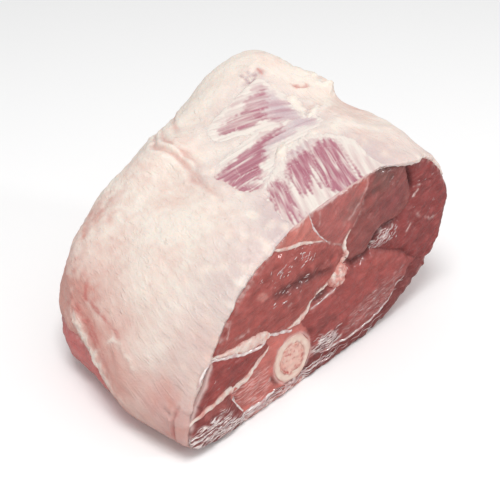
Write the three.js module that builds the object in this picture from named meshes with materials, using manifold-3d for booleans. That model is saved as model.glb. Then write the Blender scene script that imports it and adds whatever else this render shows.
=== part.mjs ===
// A raw half leg of lamb on the bone: one block of lean with the thigh bone and its marrow running through
// it, fat between the muscles, and a cap of outer fat that is torn open over the top.
// Millimetres, +Z up. The leg lies on its flat inner side and the sawn face looks along -Y.
// The group is moved last, so that the origin is the middle of the foot of its bounding box.
import * as THREE from "three";
import { mergeVertices } from "three/addons/utils/BufferGeometryUtils.js";
import Module from "manifold-3d";

const wasm = await Module();
wasm.setup();

// Driving dimensions
const SAWN_Y = -55; // plane of the saw cut
const REAR_Y = 12; // last drawn outline; the rear end is rounded off behind it
const REAR_LENGTH = 54;
const FAT_DEPTH = 3.2; // outer fat at full depth
const FAT_EDGE = 7; // width over which the outer fat thins out to nothing
const GAP = 0.3; // clearance between neighbouring solids
const BONE_LENGTH = 78; // from the sawn end to the joint end inside the meat
const BONE_PROUD = 0.8; // the sawn bone stands out of the softer lean
const MARROW_SUNK = 0.6; // the marrow ends this far behind the sawn bone
const CLEAR = 10; // how far a cut starts in front of the saw plane

// Mesh density
const AROUND = 72;
const ALONG = 17;
const REAR_ROWS = 12;
const FACE_RINGS = 9;

// Outlines across the leg, [x, z]: from the toe, up the skin side, over the top and back underneath
const OUTLINES = [
  {
    y: SAWN_Y,
    points: [
      [-96, 6], [-98, 22], [-85, 47], [-66, 73], [-40, 86], [0, 92], [38, 91],
      [65, 81], [80, 55], [72, 27], [42, 6], [10, 0], [-60, 0],
    ],
  },
  {
    y: -22,
    points: [
      [-98, 7], [-102, 24], [-89, 49], [-67, 73], [-39, 88], [0, 95], [43, 97],
      [71, 87], [84, 58], [75, 28], [46, 6], [16, 0], [-60, 0],
    ],
  },
  {
    y: REAR_Y,
    points: [
      [-92, 8], [-95, 27], [-85, 52], [-64, 70], [-36, 86], [3, 97], [43, 99],
      [69, 88], [83, 59], [74, 30], [46, 7], [16, 0], [-57, 0],
    ],
  },
];
const REAR_POLE = [14, 50]; // [x, z] where the rear end closes
const REAR_FULLNESS = 2.4; // above 2 the rear end is blunter than an ellipse
const CORE_Z = 48; // height of the line that the surface swells away from

// Swellings of the outer surface: the fatty knob, its loose tag, the dip before it and the fold at the left
const SWELLINGS = [
  { at: [35, 37, 98], radius: 25, height: 20 },
  { at: [61, 12, 94], radius: 8, height: 7 },
  { at: [60, -14, 92], radius: 13, height: -3 },
  { at: [-28, 28, 86], radius: 15, height: 4 },
];

// Heights of the lower edge of the outer fat at even points of the compass, anticlockwise from +X
const FAT_FOOT = [58, 52, 46, 42, 44, 42, 18, 2, 2, 20, 60, 72];

// The bare window over the top, [x, y] seen from above
const WINDOW = [
  [-31, -70], [-33, -46], [-28, -34], [-31, -15], [-28, -6], [-14, 3], [-5, 14],
  [12, 20], [28, 20], [29, 5], [31, -15], [27, -34], [20, -50], [15, -70],
];
const WINDOW_FLOOR_Z = 60; // nothing below this height belongs to the window
const WINDOW_STEPS = 84;

// Thigh bone, in the plane of the saw cut
const BONE_AT = [-32.4, 18.2];
const BONE_RADII = [12.8, 11.5];
const MARROW_RADII = [8.4, 7.5];
const BONE_TILT = THREE.MathUtils.degToRad(125);
const BONE_SIDES = 40;

// Fat between the muscles: a line across the sawn face, [x, z], with the fat's half width at each point
const SEAMS = [
  {
    name: "seam_fat_upper",
    depth: 48,
    line: [
      [-42, 79, 0.9], [-35, 77.3, 1.1], [-30, 76.7, 1],
      [-25, 75, 0.8], [-20, 72.8, 0.7], [-14, 70.6, 0.5],
    ],
  },
  {
    name: "fat_nodule",
    depth: 45,
    line: [
      [-7.4, 43.2, 2.6], [-5.2, 45.8, 5.2], [-2.6, 49, 5.4],
      [0.2, 52.6, 2.8], [2.2, 56.4, 2.2], [2.4, 60, 1],
    ],
  },
  {
    name: "seam_fat_main",
    depth: 70,
    line: [
      [-35, 36.3, 0.7], [-29.5, 36.9, 1.8], [-24.5, 38.8, 1.9],
      [-19.5, 43, 0.9], [-15, 45, 1.3], [-11.6, 46.2, 1.5],
    ],
  },
  {
    name: "seam_fat_lower",
    depth: 55,
    line: [[-79.5, 45.8, 0.7], [-75, 45, 1.2], [-66, 43.4, 2.2], [-58, 42.6, 2.9], [-50.5, 40.8, 1.8]],
  },
  {
    name: "seam_fat_toe",
    depth: 50,
    line: [
      [-88, 22, 0.6], [-77, 23.8, 1.4], [-66, 23.7, 1.8],
      [-60, 25.6, 1.5], [-54, 29.2, 1.1], [-49, 31.6, 0.8],
    ],
  },
];
const SEAM_STEPS = 4; // between two points of a line

// Muscles that swell out of the sawn face, [x, z] with radii along and across and the tilt of the long one
const MUSCLES = [
  { at: [-38, 58], radii: [38, 13], tilt: -17, height: 2.6 },
  { at: [-26, 81], radii: [26, 8], tilt: -16, height: 1.4 },
  { at: [2, 78], radii: [16, 11], tilt: -60, height: 1.6 },
  { at: [32, 70], radii: [20, 15], tilt: 80, height: 1.4 },
  { at: [63, 62], radii: [21, 13], tilt: 80, height: 2.0 },
  { at: [24, 27], radii: [44, 16], tilt: 8, height: 3.2 },
  { at: [-67, 32], radii: [22, 8], tilt: -8, height: 2.0 },
  { at: [-82, 10], radii: [15, 6], tilt: 0, height: 1.6 },
];
const RIM_FADE = 0.12; // share of the face, inside its rim, over which the muscles flatten out

const MEAT = { lean: 0x9c4646, fat: 0xeee0d4, seam: 0xe2b8ac, bone: 0xe3d0c0, marrow: 0xdba79b };

const smooth = (a, b, x) => THREE.MathUtils.smoothstep(x, a, b);
const bell = (d) => Math.exp(-d * d);

// Closed outlines become columns that run from the sawn face to the last outline
function drawnColumns() {
  const loops = OUTLINES.map(
    ({ y, points }) =>
      new THREE.CatmullRomCurve3(points.map(([x, z]) => new THREE.Vector3(x, y, z)), true, "centripetal"),
  );
  return Array.from({ length: AROUND }, (_, j) => {
    const stations = loops.map((loop) => loop.getPoint(j / AROUND));
    return new THREE.CatmullRomCurve3(stations, false, "centripetal");
  });
}

// Rows of bare outer surface: along the drawn columns, then round the rear end to its pole
function bareRows() {
  const columns = drawnColumns();
  const rows = [];
  for (let i = 0; i <= ALONG; i++) rows.push(columns.map((column) => column.getPoint(i / ALONG)));
  const last = rows[ALONG];
  for (let k = 1; k < REAR_ROWS; k++) {
    const t = Math.sin((k / REAR_ROWS) * (Math.PI / 2));
    const shrink = (1 - t ** REAR_FULLNESS) ** (1 / REAR_FULLNESS);
    rows.push(
      last.map(
        (p) =>
          new THREE.Vector3(
            THREE.MathUtils.lerp(REAR_POLE[0], p.x, shrink),
            REAR_Y + REAR_LENGTH * t,
            THREE.MathUtils.lerp(REAR_POLE[1], p.z, shrink),
          ),
      ),
    );
  }
  return rows;
}

// Direction in which the surface swells or sinks: away from the line through the middle of the leg
function outward(p) {
  const axis = new THREE.Vector3(0, Math.min(p.y, REAR_Y), CORE_Z);
  return p.clone().sub(axis).normalize();
}

function swollen(p) {
  const lift = SWELLINGS.reduce(
    (sum, { at, radius, height }) => sum + height * bell(p.distanceTo(new THREE.Vector3(...at)) / radius),
    0,
  );
  return p.clone().addScaledVector(outward(p), lift);
}

// Height of the lower edge of the fat on the side of the leg that p is on
const fatFoot = new THREE.CatmullRomCurve3(
  FAT_FOOT.map((z) => new THREE.Vector3(0, 0, z)),
  true,
);
function fatFootZ(p) {
  const turn = (Math.atan2(p.y, p.x) / (2 * Math.PI) + 1) % 1;
  return fatFoot.getPoint(turn).z;
}

// Signed distance, seen from above, to the edge of the bare window: positive inside
const windowEdge = new THREE.CatmullRomCurve3(
  WINDOW.map(([x, y]) => new THREE.Vector3(x, y, 0)),
  true,
).getPoints(WINDOW_STEPS);
function insideWindow(p) {
  if (p.z < WINDOW_FLOOR_Z) return -Infinity;
  let nearest = Infinity;
  let inside = false;
  for (let i = 0; i + 1 < windowEdge.length; i++) {
    const a = windowEdge[i];
    const b = windowEdge[i + 1];
    const below = new THREE.Vector3(p.x, p.y, 0);
    const onEdge = new THREE.Line3(a, b).closestPointToPoint(below, true, new THREE.Vector3());
    nearest = Math.min(nearest, below.distanceTo(onEdge));
    if (a.y > p.y !== b.y > p.y && p.x < ((b.x - a.x) * (p.y - a.y)) / (b.y - a.y) + a.x) inside = !inside;
  }
  return inside ? nearest : -nearest;
}

// Depth of the outer fat, negative where there is none, so that its edge runs between the points of the mesh
function fatDepth(p) {
  const room = Math.min(p.z - fatFootZ(p), -insideWindow(p));
  return FAT_DEPTH * THREE.MathUtils.clamp(room / FAT_EDGE, -1, 1);
}

// Relief of the sawn face, towards the saw where positive
function faceRelief(x, z) {
  return MUSCLES.reduce((most, { at, radii, tilt, height }) => {
    const turned = new THREE.Vector2(x - at[0], z - at[1]).rotateAround(
      new THREE.Vector2(),
      -THREE.MathUtils.degToRad(tilt),
    );
    return Math.max(most, height * bell(Math.hypot(turned.x / radii[0], turned.y / radii[1])));
  }, 0);
}

// A closed solid from rings of points, front ring first, with a point in the middle of either end
function solidFromRings(rings, front, rear) {
  const count = rings[0].length;
  const positions = [...rings.flat(), front, rear].flatMap((p) => [p.x, p.y, p.z]);
  const frontIndex = rings.length * count;
  const faces = [];
  for (let j = 0; j < count; j++) {
    const next = (j + 1) % count;
    faces.push(frontIndex, next, j);
    for (let i = 0; i + 1 < rings.length; i++) {
      const [a, b] = [i * count + j, i * count + next];
      faces.push(a, b, a + count, b, b + count, a + count);
    }
    const end = (rings.length - 1) * count;
    faces.push(frontIndex + 1, end + j, end + next);
  }
  const geometry = new THREE.BufferGeometry();
  geometry.setAttribute("position", new THREE.Float32BufferAttribute(positions, 3));
  geometry.setIndex(faces);
  return geometry;
}

function toManifold(geometry) {
  const bare = geometry.clone();
  for (const name of ["normal", "uv"]) bare.deleteAttribute(name);
  const merged = mergeVertices(bare, 1e-4);
  const vertProperties = new Float32Array(merged.attributes.position.array);
  return new wasm.Manifold(
    new wasm.Mesh({ numProp: 3, vertProperties, triVerts: new Uint32Array(merged.index.array) }),
  );
}

function toGeometry(solid) {
  const mesh = solid.getMesh();
  const geometry = new THREE.BufferGeometry();
  geometry.setAttribute("position", new THREE.BufferAttribute(mesh.vertProperties, 3));
  geometry.setIndex(new THREE.BufferAttribute(mesh.triVerts, 1));
  return geometry;
}

// The outer surface moved out by a distance that may differ from point to point, and kept above the table
function skinRings(rows, offset) {
  return rows.map((row) =>
    row.map((p) => {
      const moved = p.clone().addScaledVector(outward(p), offset(p));
      moved.z = Math.max(moved.z, 0);
      return moved;
    }),
  );
}

const middleOf = (ring) => ring.reduce((sum, p) => sum.add(p), new THREE.Vector3()).divideScalar(ring.length);

// The sawn face as rings that shrink to its middle, with the muscles standing out of the saw plane
function faceRings(rim) {
  const middle = middleOf(rim);
  return Array.from({ length: FACE_RINGS - 1 }, (_, k) => {
    const share = (k + 1) / FACE_RINGS;
    return rim.map((p) => {
      const onFace = middle.clone().lerp(p, share);
      const fade = smooth(0, RIM_FADE, 1 - share);
      onFace.y = SAWN_Y - fade * faceRelief(onFace.x, onFace.z);
      return onFace;
    });
  });
}

function leanBlock(rows, pole) {
  const sides = skinRings(rows, (p) => -Math.max(fatDepth(p), 0));
  const middle = middleOf(sides[0]);
  middle.y -= faceRelief(middle.x, middle.z);
  return toManifold(solidFromRings([...faceRings(sides[0]), ...sides], middle, pole));
}

// Outer fat: what lies between the outer surface and the lean, cut off flush at the saw plane
function fatCap(rows, pole) {
  const outside = toManifold(solidFromRings(skinRings(rows, () => 0), middleOf(rows[0]), pole));
  const inner = skinRings(rows, (p) => GAP - fatDepth(p));
  const lip = inner[0].map((p) => p.clone().setY(SAWN_Y - CLEAR));
  const deeper = pole.clone().setY(pole.y + GAP - fatDepth(pole));
  const lean = toManifold(solidFromRings([lip, ...inner], middleOf(lip), deeper));
  const pieces = outside.subtract(lean).decompose();
  return pieces.reduce((most, piece) => (piece.volume() > most.volume() ? piece : most));
}

// A bar of any outline that runs back into the meat from the sawn face
function bar(outline, front, depth, hole) {
  const shape = new THREE.Shape(outline.map(([x, z]) => new THREE.Vector2(x, z)));
  if (hole) shape.holes.push(new THREE.Path(hole.map(([x, z]) => new THREE.Vector2(x, z))));
  const geometry = new THREE.ExtrudeGeometry(shape, { depth, bevelEnabled: false });
  geometry.rotateX(Math.PI / 2); // the shape's plane becomes XZ and the bar runs along -Y
  geometry.translate(0, front + depth, 0);
  return toManifold(geometry);
}

function oval([rx, rz], grow = 0) {
  const curve = new THREE.EllipseCurve(...BONE_AT, rx + grow, rz + grow, 0, 2 * Math.PI, false, BONE_TILT);
  return curve.getPoints(BONE_SIDES).slice(0, -1).map((p) => [p.x, p.y]);
}

// Outline of a seam: out along one side of its line and back along the other
function seamOutline(line, grow = 0) {
  const path = new THREE.CatmullRomCurve3(line.map(([x, z, half]) => new THREE.Vector3(x, z, half)));
  const steps = SEAM_STEPS * (line.length - 1);
  const side = (sign) =>
    Array.from({ length: steps + 1 }, (_, i) => {
      const p = path.getPoint(i / steps);
      const ahead = path.getTangent(i / steps).setZ(0).normalize();
      const half = sign * (p.z + grow);
      const overrun = i === 0 ? -grow : i === steps ? grow : 0;
      return [p.x + ahead.x * overrun - ahead.y * half, p.y + ahead.y * overrun + ahead.x * half];
    });
  return [...side(-1), ...side(1).reverse()];
}

function node(name, solid, color, roughness) {
  const material = new THREE.MeshStandardMaterial({ color, roughness, metalness: 0 });
  const mesh = new THREE.Mesh(toGeometry(solid), material);
  mesh.name = name;
  return mesh;
}

const rows = bareRows().map((row) => row.map(swollen));
const pole = swollen(new THREE.Vector3(REAR_POLE[0], REAR_Y + REAR_LENGTH, REAR_POLE[1]));
const leanPole = pole.clone().setY(pole.y - Math.max(fatDepth(pole), 0));
const proudY = SAWN_Y - BONE_PROUD;
const leg = new THREE.Group();

// The lean, with a channel for the bone and one for each seam
let lean = leanBlock(rows, leanPole);
lean = lean.subtract(bar(oval(BONE_RADII, GAP), SAWN_Y - CLEAR, BONE_LENGTH + CLEAR));
for (const { name, depth, line } of SEAMS) {
  lean = lean.subtract(bar(seamOutline(line, GAP), SAWN_Y - CLEAR, depth + CLEAR + GAP));
  leg.add(node(name, bar(seamOutline(line), proudY, depth + BONE_PROUD), MEAT.seam, 0.4));
}
leg.add(node("lean", lean, MEAT.lean, 0.35));
leg.add(node("fat_cap", fatCap(rows, pole), MEAT.fat, 0.5));

// The bone is a tube, and the marrow fills it up to a little behind the sawn end
const femur = bar(oval(BONE_RADII), proudY, BONE_LENGTH, oval(MARROW_RADII, GAP));
leg.add(node("femur", femur, MEAT.bone, 0.5));
const marrow = bar(oval(MARROW_RADII), proudY + MARROW_SUNK, BONE_LENGTH - MARROW_SUNK);
leg.add(node("marrow", marrow, MEAT.marrow, 0.45));

const box = new THREE.Box3().setFromObject(leg);
const foot = box.getCenter(new THREE.Vector3()).setZ(box.min.z);
leg.position.sub(foot);

export default leg;
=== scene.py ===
# %% [markdown]
# # A raw half leg of lamb
# The frame holds nine plain solids: a block of lean meat, a cap of fat, a sawn thigh bone with its
# marrow, a knot of fat and four seams of it. This lesson covers each of them with a finer mesh of the
# same form, then gives that mesh a procedural finish. No image is used: colour comes from masks worked
# out on the vertices.

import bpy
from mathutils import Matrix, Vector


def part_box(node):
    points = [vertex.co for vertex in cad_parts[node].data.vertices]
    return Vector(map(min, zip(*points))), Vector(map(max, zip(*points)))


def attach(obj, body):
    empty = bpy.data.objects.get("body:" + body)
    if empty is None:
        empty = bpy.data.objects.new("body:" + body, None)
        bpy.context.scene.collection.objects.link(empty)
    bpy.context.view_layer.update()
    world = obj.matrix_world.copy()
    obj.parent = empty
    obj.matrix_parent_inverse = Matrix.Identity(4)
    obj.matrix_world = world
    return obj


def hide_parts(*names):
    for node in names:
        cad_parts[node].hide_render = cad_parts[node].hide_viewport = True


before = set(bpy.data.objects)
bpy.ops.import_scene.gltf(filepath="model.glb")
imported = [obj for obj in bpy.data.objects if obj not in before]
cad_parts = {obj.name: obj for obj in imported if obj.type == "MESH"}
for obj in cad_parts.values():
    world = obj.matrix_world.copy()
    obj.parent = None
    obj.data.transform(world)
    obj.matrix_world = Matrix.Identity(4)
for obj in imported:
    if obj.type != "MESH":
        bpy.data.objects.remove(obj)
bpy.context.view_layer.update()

# %% [markdown]
# ## Leg millimetres
# Meat is easier to think about in millimetres, measured from the middle of the leg: x runs along the sawn
# face, y runs away from it and z is up. The thigh bone's sawn end has a known place in those measures, so
# its box in the frame says how to get from one to the other.

# %% Tie leg millimetres to the frame
import math

import bpy
import numpy as np
from mathutils import Vector
from mathutils.bvhtree import BVHTree
from mathutils.geometry import delaunay_2d_cdt
from mathutils.kdtree import KDTree

MM = 0.001
SAWN_Y = -55.0
BONE_AT = np.array([-32.4, 18.2])
BONE_END_Y = -55.8
bone_low, bone_high = (np.array(corner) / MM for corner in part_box("femur"))
bone_middle = (bone_low + bone_high) / 2
LEG_TO_FRAME = np.array([
    bone_middle[0] - BONE_AT[0],
    bone_low[1] - BONE_END_Y,
    bone_middle[2] - BONE_AT[1],
])
FLOOR_Z = -LEG_TO_FRAME[2]


def to_frame(points):
    """Leg millimetres to metres in the frame."""
    return (np.asarray(points, float) + LEG_TO_FRAME) * MM


def to_leg(points):
    """Metres in the frame to leg millimetres."""
    return np.asarray(points, float) / MM - LEG_TO_FRAME


print("leg to frame, mm:", LEG_TO_FRAME.round(2))

# %% [markdown]
# ## Camera
# The camera stands at the front left corner of the leg and looks down on it, so that the sawn face and
# the fat cap both show. A long lens keeps the sides nearly parallel.

# %% Camera
AZIMUTH = math.radians(-47)
ELEVATION = math.radians(33)
CAMERA_DISTANCE = 528.0
LOOK_AT = np.array([0.0, 0.0, 35.0])
SENSOR_WIDTH = 36.0
LENS = 79.2

towards_camera = np.array([
    math.sin(AZIMUTH) * math.cos(ELEVATION),
    -math.cos(AZIMUTH) * math.cos(ELEVATION),
    math.sin(ELEVATION),
])
camera_data = bpy.data.cameras.new("camera")
camera_data.sensor_width = SENSOR_WIDTH
camera_data.lens = LENS
camera = bpy.data.objects.new("camera", camera_data)
camera.location = to_frame(LOOK_AT + CAMERA_DISTANCE * towards_camera)
camera.rotation_euler = Vector(towards_camera).to_track_quat("Z", "Y").to_euler()
bpy.context.collection.objects.link(camera)
bpy.context.scene.camera = camera
print("camera at", [round(v, 3) for v in camera.location])

# %% [markdown]
# ## Placing shader nodes
# A material is a small tree of nodes, and building one by hand takes a line for every socket. Two helpers
# place a node, set its options and fill its sockets, so that each finish below reads from the top down.


# %% Place a node
def feed(tree, node, sockets):
    """Fills a node's sockets with values or links."""
    for name, value in sockets.items():
        if isinstance(value, bpy.types.NodeSocket):
            tree.links.new(value, node.inputs[name])
        else:
            node.inputs[name].default_value = value


def put(tree, kind, sockets=None, **options):
    """Adds one node, sets its options and fills its sockets."""
    node = tree.nodes.new(kind)
    for name, value in options.items():
        setattr(node, name, value)
    feed(tree, node, sockets or {})
    return node


# %% [markdown]
# ## Floor and light
# Wet meat shows every lamp as a highlight, so the light is soft: an even white surround, one large panel
# overhead and a low one at the front right, which wet ridges of the sawn face catch as small glints. The
# floor is white paper that looks darker in reflections, so that it doesn't bleach the wet meat beside it.
# The Standard view keeps whites white and doesn't grey the reds.

# %% Light
SURROUND_STRENGTH = 0.58
KEY_PANEL = {"at": (-0.25, -0.2, 0.95), "size": 0.4, "watts": 5.5}
FILL_PANEL = {"at": (0.6, -0.85, 0.32), "size": 0.14, "watts": 2.6}

scene = bpy.context.scene
scene.view_settings.view_transform = "Standard"
world = bpy.data.worlds.new("white surround")
world.use_nodes = True
white_light = {"Color": (1, 1, 1, 1), "Strength": SURROUND_STRENGTH}
feed(world.node_tree, world.node_tree.nodes["Background"], white_light)
scene.world = world


def hang_panel(name, at, size, watts):
    """One soft light panel that faces the middle of the leg."""
    data = bpy.data.lights.new(name, "AREA")
    data.size = size
    data.energy = watts
    panel = bpy.data.objects.new(name, data)
    panel.location = at
    panel.rotation_euler = (Vector(at) - Vector(to_frame(LOOK_AT))).to_track_quat("Z", "Y").to_euler()
    bpy.context.collection.objects.link(panel)


hang_panel("key panel", **KEY_PANEL)
hang_panel("fill panel", **FILL_PANEL)
print("two light panels, surround of", SURROUND_STRENGTH)

# %% Floor
FLOOR_SIZE = 6.0
PAPER_GREY = 0.96
PAPER_GREY_IN_GLOSS = 0.25
PAPER_ROUGHNESS = 0.9
PAPER_SPECULAR = 0.1


def paper_finish():
    """White paper, darker where a glossy surface mirrors it."""
    material = bpy.data.materials.new("white paper")
    material.use_nodes = True
    tree = material.node_tree
    seen, mirrored = ((grey, grey, grey, 1) for grey in (PAPER_GREY, PAPER_GREY_IN_GLOSS))
    glossy = put(tree, "ShaderNodeLightPath").outputs["Is Glossy Ray"]
    colour = put(tree, "ShaderNodeMix", {0: glossy}, data_type="RGBA")
    feed(tree, colour, {6: seen, 7: mirrored})
    feed(tree, tree.nodes["Principled BSDF"], {
        "Base Color": colour.outputs[2],
        "Roughness": PAPER_ROUGHNESS,
        "Specular IOR Level": PAPER_SPECULAR,
    })
    return material


far_edge = FLOOR_SIZE / 2
floor_corners = [(sx * far_edge, sy * far_edge, 0) for sx, sy in ((-1, -1), (1, -1), (1, 1), (-1, 1))]
floor_mesh = bpy.data.meshes.new("floor")
floor_mesh.from_pydata(floor_corners, [], [(0, 1, 2, 3)])
floor_mesh.materials.append(paper_finish())
floor = bpy.data.objects.new("floor", floor_mesh)
bpy.context.collection.objects.link(floor)
print("floor", FLOOR_SIZE, "m wide")

# %% [markdown]
# ## Lines, edges and unevenness
# Meat has no straight edges. A few small helpers draw it: a smooth curve through some chosen points, the
# distance from such a curve, and a seeded unevenness made of many plane waves. Everything after this,
# relief and colour alike, is worked out from those.


# %% Curves and distances
def smooth_curve(points, closed=False, steps=6):
    """A smooth curve through a few points, as many short straight steps (a Catmull-Rom spline)."""
    points = np.asarray(points, float)
    if closed:
        framed = np.vstack([points[-1:], points, points[:2]])
    else:
        framed = np.vstack([2 * points[:1] - points[1:2], points, 2 * points[-1:] - points[-2:-1]])
    t = np.linspace(0, 1, steps, endpoint=False)[:, None]
    runs = []
    for a, b, c, d in zip(framed, framed[1:], framed[2:], framed[3:]):
        runs.append(b + 0.5 * t * (c - a + t * (2 * a - 5 * b + 4 * c - d + t * (3 * (b - c) + d - a))))
    if not closed:
        runs.append(points[-1:])
    return np.vstack(runs)


def distance_to(points, line):
    """How far each point is from a line of short steps, and how far along the line that is, from 0 to 1."""
    nearest = np.full(len(points), np.inf)
    along = np.zeros(len(points))
    for step, (a, b) in enumerate(zip(line, line[1:])):
        run = b - a
        share = np.clip((points - a) @ run / max(run @ run, 1e-9), 0, 1)
        gap = np.linalg.norm(points - a - share[:, None] * run, axis=1)
        closer = gap < nearest
        nearest[closer] = gap[closer]
        along[closer] = (step + share[closer]) / (len(line) - 1)
    return nearest, along


def room_outside(points, loop):
    """How far each point of a plane is outside a closed loop. Inside it the distance is negative."""
    edge = np.vstack([loop, loop[:1]])
    gap, _ = distance_to(points, edge)
    inside = np.zeros(len(points), bool)
    for (ax, ay), (bx, by) in zip(edge, edge[1:]):
        if ay != by:
            crosses = (ay > points[:, 1]) != (by > points[:, 1])
            inside ^= crosses & (points[:, 0] < ax + (points[:, 1] - ay) * (bx - ax) / (by - ay))
    return np.where(inside, -gap, gap)


def from_spot(points, middle, radii):
    """Distance from the middle of an oval spot, where 1 is its edge."""
    return np.linalg.norm((points - np.array(middle)) / radii, axis=1)


# %% Unevenness and easing
def ripples(points, length, seed, waves=36):
    """Seeded unevenness with a spread of 1: plane waves of about one length, in random directions."""
    draw = np.random.default_rng(seed)
    points = np.asarray(points, float)
    ways = draw.normal(size=(waves, points.shape[-1]))
    ways *= (2 * np.pi / length * draw.uniform(0.6, 1.5, waves) / np.linalg.norm(ways, axis=1))[:, None]
    return np.cos(points @ ways.T + draw.uniform(0, 2 * np.pi, waves)).sum(-1) * math.sqrt(2 / waves)


def uneven(points, *layers):
    """Layers of ripples added up. Each layer is its height, its length in mm and its seed."""
    return sum(height * ripples(points, length, seed) for height, length, seed in layers)


def ease(low, high, value):
    """0 below low, 1 above high, and a smooth step between."""
    t = np.clip((value - low) / (high - low), 0, 1)
    return t * t * (3 - 2 * t)


def bump_at(gap, width):
    """1 on a line or point, falling off smoothly over a width."""
    return np.exp(-(gap / width) ** 2)


def tapered(along, cut_off=0.0, power=0.5):
    """1 in the middle of a line and small at its ends, where a share of the line can be cut off."""
    return np.sin(np.pi * np.clip(along, cut_off, 1 - cut_off)) ** power


# %% [markdown]
# ## One skin over the whole leg
# The fat cap and the bare meat below it share one outer surface. Rays from all round find that surface on
# the solids, and a light blur rounds off their flat facets. The result is a grid of rows and columns that
# both the fat and the lean are built from, so they always fit together. Shrinkwrap could do this too, but
# a grid of our own knows its neighbours, which makes rims and undersides simple.

# %% Cast the skin grid
COLUMNS = 512
ROWS_ALONG = 85
ROWS_REAR = 104
REAR_FROM_Y = 14.0
AXIS = np.array([-8.0, 0.0, 56.0])
SPREAD = np.array([95.0, 52.0, 50.0])
UP_LEG = np.array([0.0, 1.0, 0.0])
FAR = 250.0
CAST_FROM_Y = SAWN_Y + 0.3
BLUR_CELLS = 3


def tree_of(*names):
    """A search tree over some of the frame's solids, in leg millimetres."""
    points, faces = [], []
    for name in names:
        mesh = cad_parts[name].data
        first = len(points)
        faces += [[first + corner for corner in face.vertices] for face in mesh.polygons]
        points += to_leg([vertex.co for vertex in mesh.vertices]).tolist()
    return BVHTree.FromPolygons(points, faces)


def blurred(field, cells):
    """Softens a map on the skin grid. Columns wrap round the leg and rows stop at the ends."""
    margin = 3 * cells
    taps = np.arange(-margin, margin + 1)
    weights = np.exp(-0.5 * (taps / cells) ** 2)
    weights /= weights.sum()
    wrapped = sum(weight * np.roll(field, tap, axis=1) for tap, weight in zip(taps, weights))
    padded = np.pad(wrapped, ((margin, margin), (0, 0)), mode="edge")
    starts = margin + taps
    return sum(weight * padded[start:start + len(field)] for start, weight in zip(starts, weights))


flesh_tree = tree_of("fat_cap", "lean")
turn = np.linspace(0, 2 * np.pi, COLUMNS, endpoint=False)
ring = np.stack([np.cos(turn), np.zeros(COLUMNS), np.sin(turn)], 1)
tilt = np.concatenate([np.zeros(ROWS_ALONG), np.linspace(0, np.pi / 2, ROWS_REAR + 2)[1:-1]])
row_y = np.concatenate([np.linspace(SAWN_Y, REAR_FROM_Y, ROWS_ALONG), np.full(ROWS_REAR, REAR_FROM_Y)])
rays = SPREAD * (ring * np.cos(tilt)[:, None, None] + UP_LEG * np.sin(tilt)[:, None, None])
rays /= np.linalg.norm(rays, axis=2, keepdims=True)
ray_ends = AXIS + UP_LEG * row_y[:, None, None]
ray_starts = AXIS + UP_LEG * np.maximum(row_y, CAST_FROM_Y)[:, None, None] + FAR * rays
hits = [
    flesh_tree.ray_cast(Vector(start), Vector(-ray))[3]
    for start, ray in zip(ray_starts.reshape(-1, 3), rays.reshape(-1, 3))
]
reach = blurred(FAR - np.array(hits, float).reshape(len(row_y), COLUMNS), BLUR_CELLS)
skin = ray_ends + rays * reach[..., None]
skin[..., 2] = np.maximum(skin[..., 2], FLOOR_Z)
pole = AXIS + UP_LEG * (REAR_FROM_Y + reach[-1].mean())
shape = skin.shape[:2]
skin_points = skin.reshape(-1, 3)
print("skin grid", shape, "from", skin.min((0, 1)).round(1), "to", skin.max((0, 1)).round(1))

# %% Which way the skin faces
around_leg = np.roll(skin, -1, axis=1) - np.roll(skin, 1, axis=1)
outward = np.cross(np.gradient(skin, axis=0), around_leg)
outward /= np.maximum(np.linalg.norm(outward, axis=2, keepdims=True), 1e-9)
print("the skin's top faces up by", outward[..., 2].max().round(3))

# %% [markdown]
# ## Where the fat stops
# The cap has two kinds of edge. Over the top it was trimmed through to the muscle in three patches, with
# strips of fat left between them. Round the sides it ends at a ragged foot, low at the left and high at
# the back and right. A signed distance to the nearest edge, called room here, is all that later steps
# need.

# %% Trimmed patches and the foot of the fat
# Each patch is a loop of (x, y) seen from above
TRIMMED_PATCHES = {
    "upper": [
        (27.5, 20.5), (15, 20.5), (4, 20.5), (-6, 18.5), (-8, 12), (-1, 6), (8, 3), (13, -1), (20, -5),
        (28, -7), (31, 4), (29, 14),
    ],
    "middle": [
        (-29.5, -5), (-20, -2.5), (-8, -2.5), (4, -1.5), (14, -2.5), (22, -5), (31, -9), (33, -13),
        (22, -15), (12, -14), (3, -14.5), (-6, -18.5), (-14, -22.5), (-22, -27), (-27, -28),
        (-30, -24), (-29, -14),
    ],
    "front": [
        (-33, -64), (-31, -46), (-27, -36), (-22, -30.5), (-12, -27.5), (-3, -23.5), (6, -20.5), (16, -20.5),
        (23, -24), (28, -31), (29, -38), (25, -48), (18, -64),
    ],
}
PATCH_FLOOR_Z = 60.0
FAR_FROM_PATCHES = 60.0
# The foot: compass angle round the leg in degrees, height in mm
FAT_FOOT = np.array([
    (0, 58), (30, 52), (60, 46), (90, 42), (120, 36), (140, 28), (150, 27), (160, 27), (168, 27.5),
    (174, 26.5), (178, 24), (181, 21), (185, 15), (190, 8), (196, 3), (205, 4), (215, 8), (225, 14),
    (240, 30), (270, 45), (300, 55), (318, 64), (330, 68), (345, 64),
])
# How ragged each kind of edge is: layers of height, length and seed
PATCH_RAGGED = [(0.8, 7, 11)]
FOOT_RAGGED = [(1.3, 11, 12), (0.2, 3.5, 13)]
patch_loops = {name: smooth_curve(loop, closed=True) for name, loop in TRIMMED_PATCHES.items()}


def room_from_patches(points):
    """Millimetres of fat between each point and the nearest trimmed patch, negative in a patch."""
    room = np.full(len(points), FAR_FROM_PATCHES)
    high = points[:, 2] > PATCH_FLOOR_Z
    for loop in patch_loops.values():
        room[high] = np.minimum(room[high], room_outside(points[high, :2], loop))
    return room


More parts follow.
